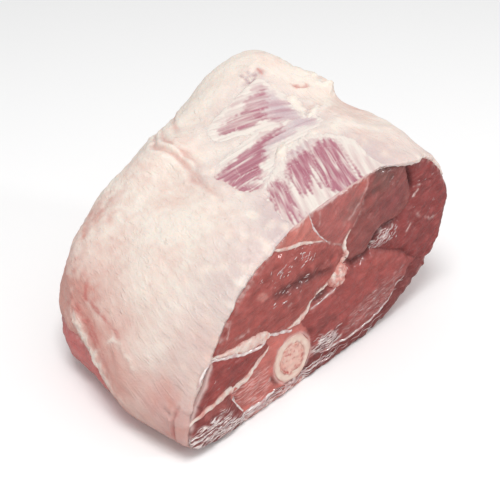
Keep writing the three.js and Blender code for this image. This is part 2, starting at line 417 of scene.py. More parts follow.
def room_above_foot(points):
    """Millimetres of fat between each point and the foot of the cap, negative below it."""
    compass = np.degrees(np.arctan2(points[:, 1], points[:, 0])) % 360
    return points[:, 2] - np.interp(compass, FAT_FOOT[:, 0], FAT_FOOT[:, 1], period=360)


patch_room = room_from_patches(skin_points) + uneven(skin_points, *PATCH_RAGGED)
foot_room = room_above_foot(skin_points) + uneven(skin_points, *FOOT_RAGGED)
room = np.minimum(patch_room, foot_room)
in_patches = patch_room < foot_room
print("fat covers", round(100 * (room > 0).mean()), "percent of the skin")

# %% [markdown]
# ## How thick the fat is
# The lean lies a little under the skin, deeper where the fat is thick. The fat rises from the lean at its
# edges: steeply where a knife cut it, as along the left of the patches, and as a thin feather elsewhere.

# %% Depth of the lean
FAT_AT_EDGE = 1.6
FAT_IN_FULL = 3.0
FULL_FROM_EDGE = 14.0
FLOOR_FADE = 12.0
BARE_DEPTH = 0.3
BARE_REACH = 10.0
SHEATH_ROOM = 0.7
SHEATH_ROOM_FADE = 3.0
RISE_AT_CUT = 0.12

fat_depth = FAT_AT_EDGE + (FAT_IN_FULL - FAT_AT_EDGE) * ease(0, FULL_FROM_EDGE, room)
at_cut = 1 - ease(SAWN_Y + 0.5, SAWN_Y + 4, skin_points[:, 1])
room_for_sheath = SHEATH_ROOM * ease(0, SHEATH_ROOM_FADE, -room) * (1 - at_cut)
under_sheath = FAT_AT_EDGE + room_for_sheath - RISE_AT_CUT * at_cut
below_foot = BARE_DEPTH + (FAT_AT_EDGE - BARE_DEPTH) * np.exp(np.minimum(room, 0) / BARE_REACH)
lean_depth = np.where(room > 0, fat_depth, np.where(in_patches, under_sheath, below_foot))
lean_depth *= ease(0, FLOOR_FADE, skin_points[:, 2])
print("lean lies", lean_depth.min().round(2), "to", lean_depth.max().round(2), "mm under the skin")

# %% Cover of fat
CUT_EDGE = smooth_curve([(-28, -3), (-30, -14), (-30, -24), (-27, -29), (-27, -36), (-31, -46), (-33, -58)])
CUT_REACH = (3, 12)
CUT_SLOPE = 0.8
FEATHER_SLOPE = 8.0
FOOT_SLOPE = 1.2
TUCK = 0.7
TUCK_RATE = 2.5
# Loose flakes of fat, as loops of (x, y) seen from above, and how far they stand up in mm
FLAKES = [
    [(30, 6), (34.5, 5), (35.5, 1.5), (32.5, -5), (28.5, -7), (29, -2.5), (28, 2)],
    [(28.5, -9.5), (34.5, -6.5), (41, -5), (39.5, -8), (33, -10), (30, -10.5)],
    [(0, -16), (5, -12.5), (8, -13), (6.5, -15), (3, -19.5), (-2.5, -22), (-3.5, -20)],
]
FLAKE_HIGH = 1.4
FLAKE_RAGGED = [(0.4, 3, 17)]

from_cut, _ = distance_to(skin_points[:, :2], CUT_EDGE)
uncut = ease(*CUT_REACH, from_cut)
slope = np.where(in_patches, CUT_SLOPE + (FEATHER_SLOPE - CUT_SLOPE) * uncut, FOOT_SLOPE)
cover = np.where(
    room > 0,
    lean_depth * (1 - np.exp(-np.maximum(room, 0) / slope)),
    -TUCK * (1 - np.exp(TUCK_RATE * np.minimum(room, 0))),
)
flake = np.zeros(len(skin_points))
over = skin_points[:, 2] > PATCH_FLOOR_Z
flake_edge = uneven(skin_points[over], *FLAKE_RAGGED)
for loop in FLAKES:
    inside = flake_edge - room_outside(skin_points[over, :2], np.array(loop, float))
    flake[over] = np.maximum(flake[over], ease(-0.5, 0.4, inside))
cover += FLAKE_HIGH * flake
print("the cover is", cover.max().round(2), "mm at most")
print("flakes lie on", round(100 * (flake > 0.5).mean(), 1), "percent of the skin")

# %% [markdown]
# ## Marks on the fat
# The cap is soft and uneven. It has broad lumps, small dimples, folds where it was pressed, a torn hole
# by the knob, and fine red veins under the surface. Each fold is a short list of points, dropped on the
# skin from above or from the left, and the distance to it makes a groove with a raised lip.


# %% Lines of the folds, ridges and veins
def cast_on(starts, way):
    """The points where rays in one direction meet the leg."""
    hits = [flesh_tree.ray_cast(Vector(start), Vector(way))[0] for start in starts]
    return np.array([hit for hit in hits if hit is not None])


def on_top(line):
    """A smooth line of (x, y) points dropped on the leg from above."""
    return cast_on([(x, y, FAR) for x, y in smooth_curve(line)], (0, 0, -1))


def on_left(line):
    """A smooth line of (y, z) points pressed on the leg from the left."""
    return cast_on([(-FAR, y, z) for y, z in smooth_curve(line)], (1, 0, 0))


LONG_FOLD = [
    (-2, 58), (-12, 50), (-22, 40), (-29, 32), (-29, 20), (-30, 10), (-34, 0), (-37, -12), (-38, -18),
]
# Each fold: line, depth in mm, width in mm
FOLDS = [
    (on_top(LONG_FOLD), 1.1, 1.5),
    (on_top([(0, 56), (-15, 42), (-23, 32), (-25, 22), (-26, 10), (-30, 2)]), 0.8, 1.3),
    (on_top([(10, 60), (-5, 45), (-15, 32)]), 0.6, 1.2),
    (on_left([(-51, 28), (-50, 22), (-50.6, 14), (-51.5, 5)]), 1.5, 0.7),
    (on_left([(-44, 25), (-47, 23.5), (-50, 24)]), 0.8, 0.9),
    (on_top([(41.5, 10.5), (43, 8.8), (46, 8.1), (51, 8)]), 1.1, 0.7),
]
# Each ridge or flake that stands up: line, height in mm, width in mm
RIDGES = [
    (on_top([(54, 23), (58, 17), (59, 11)]), 2.2, 5.0),
    (on_top([(57.5, 6.5), (61, 5), (64.5, 4.5)]), 2.8, 2.2),
    (on_top([(57, 5.5), (63, 6.5), (68, 10.5), (70, 15)]), 1.2, 1.5),
    (on_top([(62, 13), (67, 16.5), (70, 18)]), 1.1, 1.3),
    (on_top([(29, 6), (33, 4), (38, 0), (42, -1)]), 0.8, 1.3),
    (on_top([(31, -6), (38, -9), (46, -6), (52, -3)]), 0.8, 1.4),
    (on_top([(34, 14), (37, 10), (36, 5)]), 0.6, 1.2),
    (on_top([(-23, -30), (-16, -26), (-8, -22), (-4, -20), (4, -17.5), (13, -19), (24, -23)]), 0.8, 0.9),
    (on_top([(-10, -25), (-3, -21.5), (4, -19), (10, -18), (20, -19)]), 0.7, 0.8),
    (on_left([(18.5, 36.5), (15, 35), (11, 33)]), 1.5, 2.4),
    (on_left([(-15, 41), (-20, 38), (-24, 36)]), 0.5, 0.8),
    (on_left([(-23, 38), (-24, 35.5), (-27, 34)]), 0.5, 0.8),
    (on_left([(-6, 36), (-9, 39), (-15, 40)]), 0.4, 0.8),
]
VEINS = [
    on_left([(29, 43), (23, 41.3), (17, 39.4), (11, 38.6), (4, 36.6), (-2, 34), (-6, 31.5), (-13, 26)]),
    on_left([(30, 37), (24, 39), (18, 39), (10, 37), (2, 33.5), (-4, 30.5), (-11, 26.5)]),
    on_left([(22, 47), (12, 45.5), (2, 44), (-8, 42.5), (-16, 41)]),
    on_left([(18, 53), (15, 46), (10, 45)]),
    on_left([(26, 42), (12, 39.5), (2, 37.5)]),
    on_left([(-51, 27), (-50, 21), (-50.6, 14), (-51.5, 7)]),
    on_top([(40, 12), (42, 9), (46, 8.2), (51, 8.6)]),
    on_top([(67, 22), (69, 26), (70, 32)]),
    on_top([(6, -20.4), (14, -21), (22, -23.5), (27, -29)]),
    on_top([(32, 20), (33.5, 25), (32, 27)]),
]
LEFT_STRIP = [(22, 38), (17, 35.5), (12, 32.5), (6, 29.5), (0, 26.8), (-6, 23.5), (-12, 20.5), (-20, 16.5)]
print(len(FOLDS), "folds,", len(RIDGES), "ridges and", len(VEINS), "veins")

# %% Lumps of the fat
# Layers of unevenness: height in mm, length in mm, seed
FAT_LUMPS = [(0.45, 27, 1), (0.1, 10, 2), (0.03, 3.4, 3)]
FAT_WRINKLES = [(0.06, 4.5, 4), (0.045, 2.2, 5)]
STRIP_LUMPS = [(0.35, 5, 9), (0.2, 2.4, 19)]
WRINKLE_WAY = np.array([0.0, 0.89, 0.45])
WRINKLE_STRETCH = 0.8
VEIN_WIDE = 0.8
STRIP_WIDE = 3.0
STRIP_HIGH = 1.1
TORN_HOLE = {"at": (27.5, 24.0, 107.0), "wide": 3.8, "deep": 1.8}
HOLE_LIP_HIGH, HOLE_LIP_WIDE = 0.8, 1.5

drawn_out = skin_points - WRINKLE_STRETCH * (skin_points @ WRINKLE_WAY)[:, None] * WRINKLE_WAY
lumps = uneven(skin_points, *FAT_LUMPS) + uneven(drawn_out, *FAT_WRINKLES)
pinch, raised, veins = np.zeros((3, len(skin_points)))
fold_wander = uneven(skin_points, (0.3, 12, 6))
for line, deep, wide in FOLDS:
    gap, along = distance_to(skin_points, line)
    gap = np.abs(gap + wide * fold_wander)
    strength = tapered(along, 0.02)
    lumps += deep * strength * (0.7 * bump_at(gap - 2.2 * wide, wide) - bump_at(gap, wide))
    pinch = np.maximum(pinch, strength * bump_at(gap, 0.9 * wide))
ridge_wander = uneven(skin_points, (0.4, 4, 8))
for line, high, wide in RIDGES:
    gap, along = distance_to(skin_points, line)
    ridge = tapered(along, 0.03) * bump_at(gap + wide * ridge_wander, wide)
    lumps += high * ridge
    raised = np.maximum(raised, ridge)
vein_wander = uneven(skin_points, (0.4, 7, 7))
for line in VEINS:
    gap, along = distance_to(skin_points, line)
    veins = np.maximum(veins, tapered(along) * bump_at(gap + vein_wander, VEIN_WIDE))
gap, along = distance_to(skin_points, on_left(LEFT_STRIP))
left_strip = bump_at(gap + uneven(skin_points, (0.8, 5, 18)), STRIP_WIDE) * tapered(along, 0.04, 0.4)
lumps += left_strip * (STRIP_HIGH + uneven(skin_points, *STRIP_LUMPS))
hole_gap = np.linalg.norm(skin_points - TORN_HOLE["at"], axis=1) + uneven(skin_points, (0.9, 4, 14))
hole_ragged = 1 + uneven(skin_points, (0.4, 2.5, 10))
lumps -= TORN_HOLE["deep"] * bump_at(hole_gap, TORN_HOLE["wide"]) * hole_ragged
lumps += HOLE_LIP_HIGH * bump_at(hole_gap - 1.6 * TORN_HOLE["wide"], HOLE_LIP_WIDE)
print("fat lumps from", lumps.min().round(2), "to", lumps.max().round(2), "mm")

# %% [markdown]
# ## The fat cap
# The cap is a closed shell: a fine outer surface, a coarser inner one and a wall where it ends. Blocks of
# two by two cells are kept wherever there is fat. At the sawn face the front edge is rounded and stands a
# little proud, and at the upper right it hangs over the face as a soft lip.

# %% Shape the outer and inner surfaces of the cap
FULL_COVER = 2.2
RIM_PROUD = np.array([0.7, 0.35, 0.1])
RIM_INSET = np.array([0.9, 0.3, 0.05])
INNER_PROUD = 0.75
RIM_RAGGED = 0.55
LIP_FROM_X, LIP_TO_X = 18.0, 58.0
LIP_FADE = 8.0
LIP_OVERHANG = 3.2
LIP_ROWS = 9
LIP_BLUR = 5
CAP_CLEAR = 0.05


def lip_share(x, z):
    """How far the lip hangs over at each place of the sawn rim, from 0 to 1."""
    from_left = ease(LIP_FROM_X, LIP_FROM_X + LIP_FADE, x)
    return from_left * (1 - ease(LIP_TO_X - LIP_FADE, LIP_TO_X, x)) * (z > PATCH_FLOOR_Z)


rooms = room.reshape(shape)
covers = cover.reshape(shape)
depths = lean_depth.reshape(shape)
fullness = np.clip(covers / FULL_COVER, 0, 1)
outer = skin - outward * (depths - covers - fullness * lumps.reshape(shape))[..., None]
inner = skin - outward * (depths + TUCK)[..., None]
lip = lip_share(skin[0, :, 0], skin[0, :, 2]) * blurred(fullness, LIP_BLUR)[0]
ragged = uneven(skin[0], (1, 6, 15), (0.6, 2.4, 16))
for row in range(LIP_ROWS):
    outer[row, :, 1] -= LIP_OVERHANG * lip * (1 - row / LIP_ROWS) ** 2
for row, (proud, inset) in enumerate(zip(RIM_PROUD, RIM_INSET)):
    outer[row, :, 1] -= proud * fullness[row] * (1 + 0.4 * ragged)
    outer[row] -= outward[row] * (inset * fullness[row])[:, None]
inner[0, :, 1] -= INNER_PROUD * fullness[0] + LIP_OVERHANG * lip
inner[0] -= outward[0] * (RIM_RAGGED * np.maximum(ragged, -0.6) * fullness[0])[:, None]
for surface in (outer, inner):
    surface[..., 2] = np.maximum(surface[..., 2], FLOOR_Z + CAP_CLEAR)
print("the lip hangs over by", (LIP_OVERHANG * lip.max()).round(2), "mm")


# %% Make a piece
def make_piece(name, points, faces, nodes=(), masks=None):
    """A smooth mesh in the frame, riding on the one body, with its masks as vertex attributes."""
    mesh = bpy.data.meshes.new(name)
    mesh.from_pydata(to_frame(points).tolist(), [], faces)
    mesh.shade_smooth()
    for mask_name, values in (masks or {}).items():
        values = np.asarray(values, np.float32)
        kind = "FLOAT" if values.ndim == 1 else "FLOAT_VECTOR"
        layer = mesh.attributes.new(mask_name, kind, "POINT")
        layer.data.foreach_set("value" if values.ndim == 1 else "vector", values.ravel())
    piece = bpy.data.objects.new(name, mesh)
    bpy.context.collection.objects.link(piece)
    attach(piece, "root")
    if nodes:
        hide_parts(*nodes)
    triangles = sum(len(face.vertices) - 2 for face in mesh.polygons)
    print(name, len(points), "points,", triangles, "triangles")
    return piece


# %% Close the cap from kept blocks
KEPT_ROOM = -3.0


def cap_mesh():
    """Faces of the closed cap, with the grid points that each of its points came from."""
    rows, columns = shape
    kept = np.zeros(((rows - 1) // 2, columns // 2), bool)
    for dr in range(3):
        for dc in range(3):
            kept |= np.roll(rooms, -dc, axis=1)[dr:dr + rows - 2:2, ::2] > KEPT_ROOM
    fine, coarse, faces = {}, {}, []

    def top(row, column):
        return fine.setdefault((row, column % columns), len(fine))

    def base(row, column):
        return ("base", coarse.setdefault((row, column % columns), len(coarse)))

    for a, b in zip(*np.nonzero(kept)):
        r, c = 2 * a, 2 * b
        for p in (r, r + 1):
            for q in (c, c + 1):
                corners = ((p, q), (p + 1, q), (p + 1, q + 1), (p, q + 1))
                faces.append([top(*corner) for corner in corners])
        faces.append([base(r, c), base(r, c + 2), base(r + 2, c + 2), base(r + 2, c)])
        walls = {
            (a - 1, b): ((r, c), (r, c + 1), (r, c + 2)),
            (a + 1, b): ((r + 2, c + 2), (r + 2, c + 1), (r + 2, c)),
            (a, b - 1): ((r + 2, c), (r + 1, c), (r, c)),
            (a, b + 1): ((r, c + 2), (r + 1, c + 2), (r + 2, c + 2)),
        }
        for (na, nb), (first, between, last) in walls.items():
            at_pole = na == len(kept)
            if not at_pole and not (0 <= na and kept[na, nb % kept.shape[1]]):
                faces.append([top(*first), top(*between), top(*last), base(*last), base(*first)])
    last_row = rows - 1
    for c in range(0, columns, 2):
        faces.append([top(last_row, c), ("pole", 0), top(last_row, c + 1)])
        faces.append([top(last_row, c + 1), ("pole", 0), top(last_row, c + 2)])
        faces.append([base(last_row, c), base(last_row, c + 2), ("pole", 1)])
    first = {"base": len(fine), "pole": len(fine) + len(coarse)}
    faces = [[v if isinstance(v, int) else first[v[0]] + v[1] for v in face] for face in faces]
    return faces, tuple(np.array(list(fine)).T), tuple(np.array(list(coarse)).T)


cap_faces, fine_at, coarse_at = cap_mesh()
cap_poles = [pole, pole - UP_LEG * (FAT_IN_FULL + TUCK)]
cap_points = np.vstack([outer[fine_at], inner[coarse_at], cap_poles])
print("the cap has", len(cap_faces), "faces")


def on_cap(values):
    """A map on the skin grid, as one value for each point of the cap."""
    values = values.reshape(*shape, *values.shape[1:])
    at_poles = np.repeat(values[-1].mean(0, keepdims=True), 2, axis=0)
    return np.concatenate([values[fine_at], values[coarse_at], at_poles])


# %% [markdown]
# ## Masks for the fat
# Fresh fat isn't one colour. It is cream on top, pinker low down at the left, pink in the folds, and
# shows the purple muscle through wherever it is thin. Each of these is a mask from 0 to 1 on the
# vertices.

# %% Pink of the fat
# Each pink cloud: middle and radii seen from the left as (y, z), or from above as (x, y), and strength
CLOUDS_LEFT = [
    ((17, 47), (8, 5), 0.6), ((27, 42), (8, 5), 0.45), ((4, 33), (8, 5), 0.5), ((12, 37), (10, 3), 0.6),
    ((36, 30), (6, 5), 0.5), ((40, 66), (7, 5), 0.25), ((30, 74), (9, 4), 0.2), ((-47, 24), (5, 3), 0.5),
    ((20, 58), (16, 9), 0.25), ((45, 42), (13, 15), 0.4), ((-30, 30), (14, 6), 0.2),
    ((-14, 48), (10, 6), 0.15),
]
CLOUDS_ABOVE = [
    ((-60, 36), (14, 7), 0.35), ((-50, 24), (11, 8), 0.2), ((54, -12), (10, 10), 0.2),
    ((40, -40), (13, 9), 0.1), ((70, 2), (8, 14), 0.35), ((32, -33), (10, 5), 0.25),
    ((66, 34), (9, 9), 0.35), ((-36, 14), (5, 22), 0.15),
]
CLOUDS_LEFT_OF_X = -50.0
PINK_ALL_OVER = 0.08
PINK_UNEVEN = [(0.08, 30, 21), (0.03, 9, 22)]
PINK_STREAKS = [(0.04, 3, 23)]

x, y, z = skin_points.T
high_up = z > PATCH_FLOOR_Z
# How much each kind of place adds to the pink
pink_places = [
    (1.2, (1 - ease(10, 70, z)) * (1 - ease(-75, -10, x)) * (0.6 + 0.4 * ease(-35, 5, y))),
    (0.35, (1 - ease(40, 70, z)) * ease(-20, 40, x)),
    (0.25, 1 - ease(4, 14, z)),
    (0.22 - 0.17 * ease(22, 42, z), 1 - ease(-54, -30, y)),
    (0.06, ease(20, 60, x)),
    (0.6, pinch),
    (-0.4, raised),
    (-0.8, flake),
    (-0.1, ease(88, 104, z)),
]
blush = PINK_ALL_OVER + uneven(skin_points, *PINK_UNEVEN) + uneven(drawn_out, *PINK_STREAKS)
blush += sum(strength * place for strength, place in pink_places)
cloud_wander = uneven(skin_points, (0.2, 7, 26))
for seen, reached, clouds in (
    (np.stack([y, z], 1), x < CLOUDS_LEFT_OF_X, CLOUDS_LEFT),
    (np.stack([x, y], 1), high_up, CLOUDS_ABOVE),
):
    for middle, radii, strength in clouds:
        blush += strength * reached * bump_at(from_spot(seen, middle, radii) + cloud_wander, 1)
blush = np.maximum(blush, 0) * (1 - 0.9 * left_strip)
print("pink is", blush.mean().round(2), "on average")

# %% Thin and torn places
FLAKES_AT, FLAKES_RADII = (35, -3), (9, 10)
BY_PATCH_REACH = 9.0
THIN_COVER = 0.4

by_patch = bump_at(np.maximum(patch_room, 0), BY_PATCH_REACH) * high_up
by_flakes = bump_at(from_spot(skin_points[:, :2], FLAKES_AT, FLAKES_RADII), 1) * high_up
by_sawn_face = (0.35 + 0.25 * ease(50, 75, z)) * (1 - ease(-52, -18, y)) * (1 - 0.4 * ease(20, 60, x))
seen_through = by_sawn_face + 0.45 * by_patch + 0.2 * by_flakes
thin = (0.35 - 0.3 * uncut) * np.exp(-np.maximum(cover, 0) / THIN_COVER)
thin += seen_through * np.clip(1 + uneven(skin_points, (0.4, 7, 24)), 0, 1)
thin *= 1 - np.maximum(flake, left_strip)
torn = bump_at(hole_gap, 1.25 * TORN_HOLE["wide"]) * np.clip(0.7 + uneven(skin_points, (0.7, 2.6, 25)), 0, 1)
fat_cap = make_piece("outer_fat_cap", cap_points, cap_faces, ["fat_cap"], {
    "blush": np.clip(on_cap(blush), 0, 1),
    "vein": on_cap(veins),
    "thin": np.clip(on_cap(thin), 0, 1),
    "torn": on_cap(torn),
    "drawn": on_cap(drawn_out),
})

# %% [markdown]
# ## Muscles on the sawn face
# A saw cut the thigh straight across, and the cut muscles relaxed and swelled a little, each inside its
# own sheath. The seams between them are a few named lines. Every muscle is a loop made of those lines, so
# two neighbours share the same seam, and the distance from a loop's edge makes the swelling.

# %% Seam lines
# Points of (x, z) on the sawn face
UPPER_SEAM = [
    (-62, 90), (-50.5, 83.3), (-45, 80.5), (-40, 78.6), (-35, 77.3), (-30, 76.7), (-25, 75), (-20, 72.8),
    (-14, 70.6), (-10.5, 68.6), (-5, 64.8), (-1, 62.5), (1, 60),
]
TOP_SEAM = [
    (-26, 106), (-24.2, 91.5), (-22.5, 85.6), (-20.5, 80.6), (-17.5, 76), (-13.5, 71.6), (-10.5, 68.6),
]
BROWN_LEFT = [
    (19, 106), (18.5, 93.5), (16.5, 86), (14.5, 79.5), (11.5, 73.5), (7.5, 68), (3.5, 65.8),
    (1.5, 63), (1, 60),
]
BROWN_RIGHT = [(43, 106), (44.5, 86), (46.5, 79.5), (49, 73.5), (50, 68.5), (48, 62), (40, 57.5)]
CLEFT_LEFT = [(3, 52.5), (6, 50.2), (10, 49.2), (16, 49.8), (19, 51)]
CLEFT_RIGHT = [(19, 51), (23.5, 55.8), (30, 58.3), (36, 58), (40, 57.5)]
RIGHT_SEAM = [(19, 51), (24, 49), (30, 45.8), (38, 41.5), (47, 37), (53, 31), (60, 26.5), (90, 14)]
MAIN_SEAM = [
    (1, 60), (1.5, 56), (0, 53.5), (-4, 47.5), (-10, 46.8), (-16, 44.5), (-20.5, 42), (-24, 39), (-28, 36.9),
    (-32, 36.4), (-38, 35.8), (-43, 37.4), (-48.3, 39.8),
]
LOWER_SEAM = [(-48.3, 39.8), (-52.5, 41), (-58, 41.5), (-66, 42.8), (-75, 45), (-84, 46.4), (-115, 53)]
TOE_SEAM = [
    (-48.3, 39.8), (-49, 36), (-47.5, 33), (-50, 31.2), (-55.5, 28.6), (-60, 25.8), (-66, 24), (-74, 24.4),
    (-80, 23.2), (-88, 21.8), (-98, 20), (-118, 17),
]
LUMP_SEAM = [(-74, 24.4), (-71, 20), (-70, 17.6), (-67.3, 13), (-64, 7.6), (-62, -8)]
MEMBRANE_LINE = [
    (-23, 12), (-19, 10.5), (-12, 9.2), (0, 8), (10, 6.6), (20, 7.5), (30, 9), (38, 12.5), (45, 18.4),
    (52, 22.5), (56, 25.6), (60, 26.5),
]
BONE_SIDE = [(-23, 12), (-19.5, 18), (-21, 26), (-25, 32), (-28, 36.9)]
print("the main seam has", len(MAIN_SEAM), "points")

# %% Muscle loops
UPPER_LEFT_LOOP = UPPER_SEAM[:10] + TOP_SEAM[::-1] + [(-62, 106)]
UPPER_MIDDLE_LOOP = TOP_SEAM + UPPER_SEAM[10:] + BROWN_LEFT[::-1]
BROWN_LOOP = BROWN_LEFT + MAIN_SEAM[1:3] + CLEFT_LEFT + CLEFT_RIGHT[1:] + BROWN_RIGHT[::-1]
RIGHT_LOOP = BROWN_RIGHT + CLEFT_RIGHT[::-1] + RIGHT_SEAM[1:] + [(120, 60), (70, 106)]
LOWER_LOOP = CLEFT_LEFT + RIGHT_SEAM[1:7] + MEMBRANE_LINE[::-1] + BONE_SIDE[1:] + MAIN_SEAM[8:2:-1]
BIG_LEFT_LOOP = UPPER_SEAM + MAIN_SEAM[1:] + LOWER_SEAM[1:] + [(-110, 95)]
TOE_LOOP = LOWER_SEAM + TOE_SEAM[::-1]
BY_BONE_LOOP = TOE_SEAM[:8] + LUMP_SEAM[1:] + [(-30, -10), (-23, 12)] + BONE_SIDE[1:] + MAIN_SEAM[9:]
TOE_LUMP_LOOP = TOE_SEAM[7:] + [(-118, -10), (-62, -8)] + LUMP_SEAM[::-1]
UNDERSIDE_LOOP = MEMBRANE_LINE + [(100, 14), (60, -12), (-23, -12)]
# Each muscle: loop, swelling in mm, reach of the rounding in mm, colour, lie of the fibres in degrees
MUSCLES = [
    (UPPER_LEFT_LOOP, 1.2, 2.5, (206, 122, 112), 35),
    (UPPER_MIDDLE_LOOP, 1.3, 3.0, (180, 101, 96), 30),
    (BROWN_LOOP, 1.4, 3.0, (147, 80, 76), 25),
    (RIGHT_LOOP, 1.6, 3.0, (148, 66, 64), 15),
    (LOWER_LOOP, 2.4, 4.0, (164, 79, 75), 2),
    (BIG_LEFT_LOOP, 2.2, 4.0, (170, 85, 79), 12),
    (TOE_LOOP, 1.7, 3.0, (156, 70, 66), 8),
    (BY_BONE_LOOP, 1.0, 2.5, (202, 115, 106), 5),
    (TOE_LUMP_LOOP, 1.8, 3.0, (136, 62, 60), 5),
    (UNDERSIDE_LOOP, 0.8, 2.0, (130, 60, 58), 3),
]
outlines, swellings, roundings, MUSCLE_COLOURS, fibre_angles = zip(*MUSCLES)
MUSCLE_LOOPS = [np.array(outline, float) for outline in outlines]
SWELLING = np.array(swellings)
ROUNDING = np.array(roundings)
FIBRE_ANGLE = np.radians(fibre_angles)


def nearest_muscle(points):
    """For points of the sawn face: which muscle each is in, and how deep inside its edge."""
    which = np.zeros(len(points), int)
    deep = np.full(len(points), -np.inf)
    for index, loop in enumerate(MUSCLE_LOOPS):
        own = -room_outside(points, loop)
        inside = own > deep
        which[inside] = index
        deep[inside] = own[inside]
    return which, np.maximum(deep, 0)


def along_fibres(points, angle):
    """Points of a plane turned so that the first number runs along the fibres and the second across them."""
    return np.stack([
        points[:, 0] * np.cos(angle) + points[:, 1] * np.sin(angle),
        points[:, 1] * np.cos(angle) - points[:, 0] * np.sin(angle),
    ], 1)


print(len(MUSCLES), "muscles")

# %% Frayed places
# Where the saw frayed the meat into strands: loop on the cut, strength from 0 to 1
FRAYED = [
    ([(-110, 15), (-92, 16), (-84, 16.5), (-77, 16.5), (-71.5, 13), (-68, 8), (-62, 3), (-62, -6),
      (-110, -6)], 1.0),
    ([(-20.5, 9.5), (-18.5, 18), (-13, 22.5), (-6, 20), (1, 15), (3, 11), (-8, 10)], 0.85),
    ([(-66, 7.5), (-52, 7.5), (-44, 6.5), (-24, 6), (-18, 5.5), (-14, -6), (-66, -6)], 0.8),
    ([(0, 12), (6, 24), (30, 30), (48, 30), (44, 18), (30, 10)], 0.15),
    ([(-72, 21), (-62, 24), (-52, 27), (-47, 22), (-45, 12), (-52, 6), (-64, 8)], 0.25),
    ([(20, 51), (24, 56), (31, 58), (37, 57.5), (34, 53), (27, 50.5)], 0.75),
]
FRAYED_WANDER = [(0.9, 7, 35)]
STRAND_STRETCH = [0.06, 1]
STRAND_LENGTH, STRAND_SEED = 2.2, 34


def frayed_at(points):
    """How frayed the cut is at each point, from 0 to 1."""
    frayed = np.zeros(len(points))
    wander = uneven(points, *FRAYED_WANDER)
    for loop, strength in FRAYED:
        inside = wander - room_outside(points, np.array(loop, float))
        frayed = np.maximum(frayed, strength * ease(-0.5, 2.5, inside))
    return frayed


def strands_at(points, which):
    """Ridges of the frayed strands, 1 on a crest."""
    fibre = along_fibres(points, FIBRE_ANGLE[which])
    return 1 - np.abs(ripples(fibre * STRAND_STRETCH, STRAND_LENGTH, STRAND_SEED))


# %% Relief of the sawn face
# Grooves in the cut: points, depth in mm, width in mm
GROOVES = [
    (CLEFT_LEFT + CLEFT_RIGHT[1:], 2.0, 1.2),
    ([(-48, 59.2), (-38, 58.6), (-29, 57.6), (-20, 56.6), (-12, 55), (-7, 54.3)], 1.1, 1.7),
    ([(44, 87), (46, 80), (48.5, 74), (49.5, 69)], 1.7, 1.0),
    ([(-20, 42.3), (-14, 43.2), (-9.5, 44)], 1.4, 1.3),
    ([(-9.6, 48), (-9.2, 45.8)], 1.6, 0.9),
    ([(-46.8, 16.5), (-44.8, 12.5), (-41, 8.8)], 1.2, 0.9),
    ([(-52, 4.6), (-42, 5.7), (-30, 5.2), (-20, 7)], 1.1, 0.8),
    ([(-92.5, 28.5), (-90, 26), (-88.5, 23)], 0.7, 0.5),
    ([(-72, 22.6), (-68, 20.5), (-63, 21.8)], 0.9, 0.8),
    ([(-69, 18.6), (-67.6, 15.5)], 1.2, 0.8),
    (RIGHT_SEAM[1:7], 0.5, 0.9),
    ([(52, 70), (60, 70.4), (66, 68)], 0.6, 0.7),
]
FACE_LUMPS = [(0.2, 9, 31), (0.07, 3, 32)]
FIBRE_LUMPS = [(0.1, 3.2, 33)]
FIBRE_STRETCH = [0.2, 1]
STRAND_HIGH = 0.25
groove_lines = [(smooth_curve(line), deep, wide) for line, deep, wide in GROOVES]


def face_relief(points):
    """How far the sawn meat stands out from the plane of the cut, in mm, and the muscle at each point."""
    which, deep = nearest_muscle(points)
    fibre = along_fibres(points, FIBRE_ANGLE[which])
    height = SWELLING[which] * (1 - np.exp(-deep / ROUNDING[which]))
    height += uneven(points, *FACE_LUMPS)
    height += uneven(fibre * FIBRE_STRETCH, *FIBRE_LUMPS) * ease(0, 2, deep)
    height += STRAND_HIGH * frayed_at(points) * np.clip(strands_at(points, which), -0.6, 1)
    for line, groove_deep, wide in groove_lines:
        gap, along = distance_to(points, line)
        height -= groove_deep * bump_at(gap, wide) * tapered(along, 0.04)
    return height, which


print(len(GROOVES), "grooves,", len(FRAYED), "frayed places")

# %% [markdown]
# ## The lean
# The sides of the lean follow the skin grid, set back under the fat. The face is filled with a fine even
# net of points by a constrained Delaunay triangulation, which keeps the rim exactly, so face and sides
# close into one solid. Subdividing a flat cap would stretch long thin triangles from the rim instead.

# %% Sides of the lean
SIDE_STEP = 2
BARE_FADE = 3.0
BUNDLES = [(0.35, 11, 41), (0.12, 4, 42)]
TATTERS = [(0.45, 5, 43)]
TATTER_STRETCH = [1, 0.3, 1]
RIM_SHARE = 0.8
RIM_LEAST = 0.3


def ring_faces(rings, around, closed=False, first=0):
    """Faces between rings of points, with the last ring joined to the first one where closed is true."""
    faces = []
    for r in range(rings if closed else rings - 1):
        one = first + r * around
        two = first + (r + 1) % rings * around
        for c in range(around):
            d = (c + 1) % around
            faces.append([one + c, one + d, two + d, two + c])
    return faces


def skin_grid_faces(rows):
    """Faces of a grid of the skin, turned to look outward."""
    return [[a, d, c, b] for a, b, c, d in ring_faces(rows, COLUMNS)]


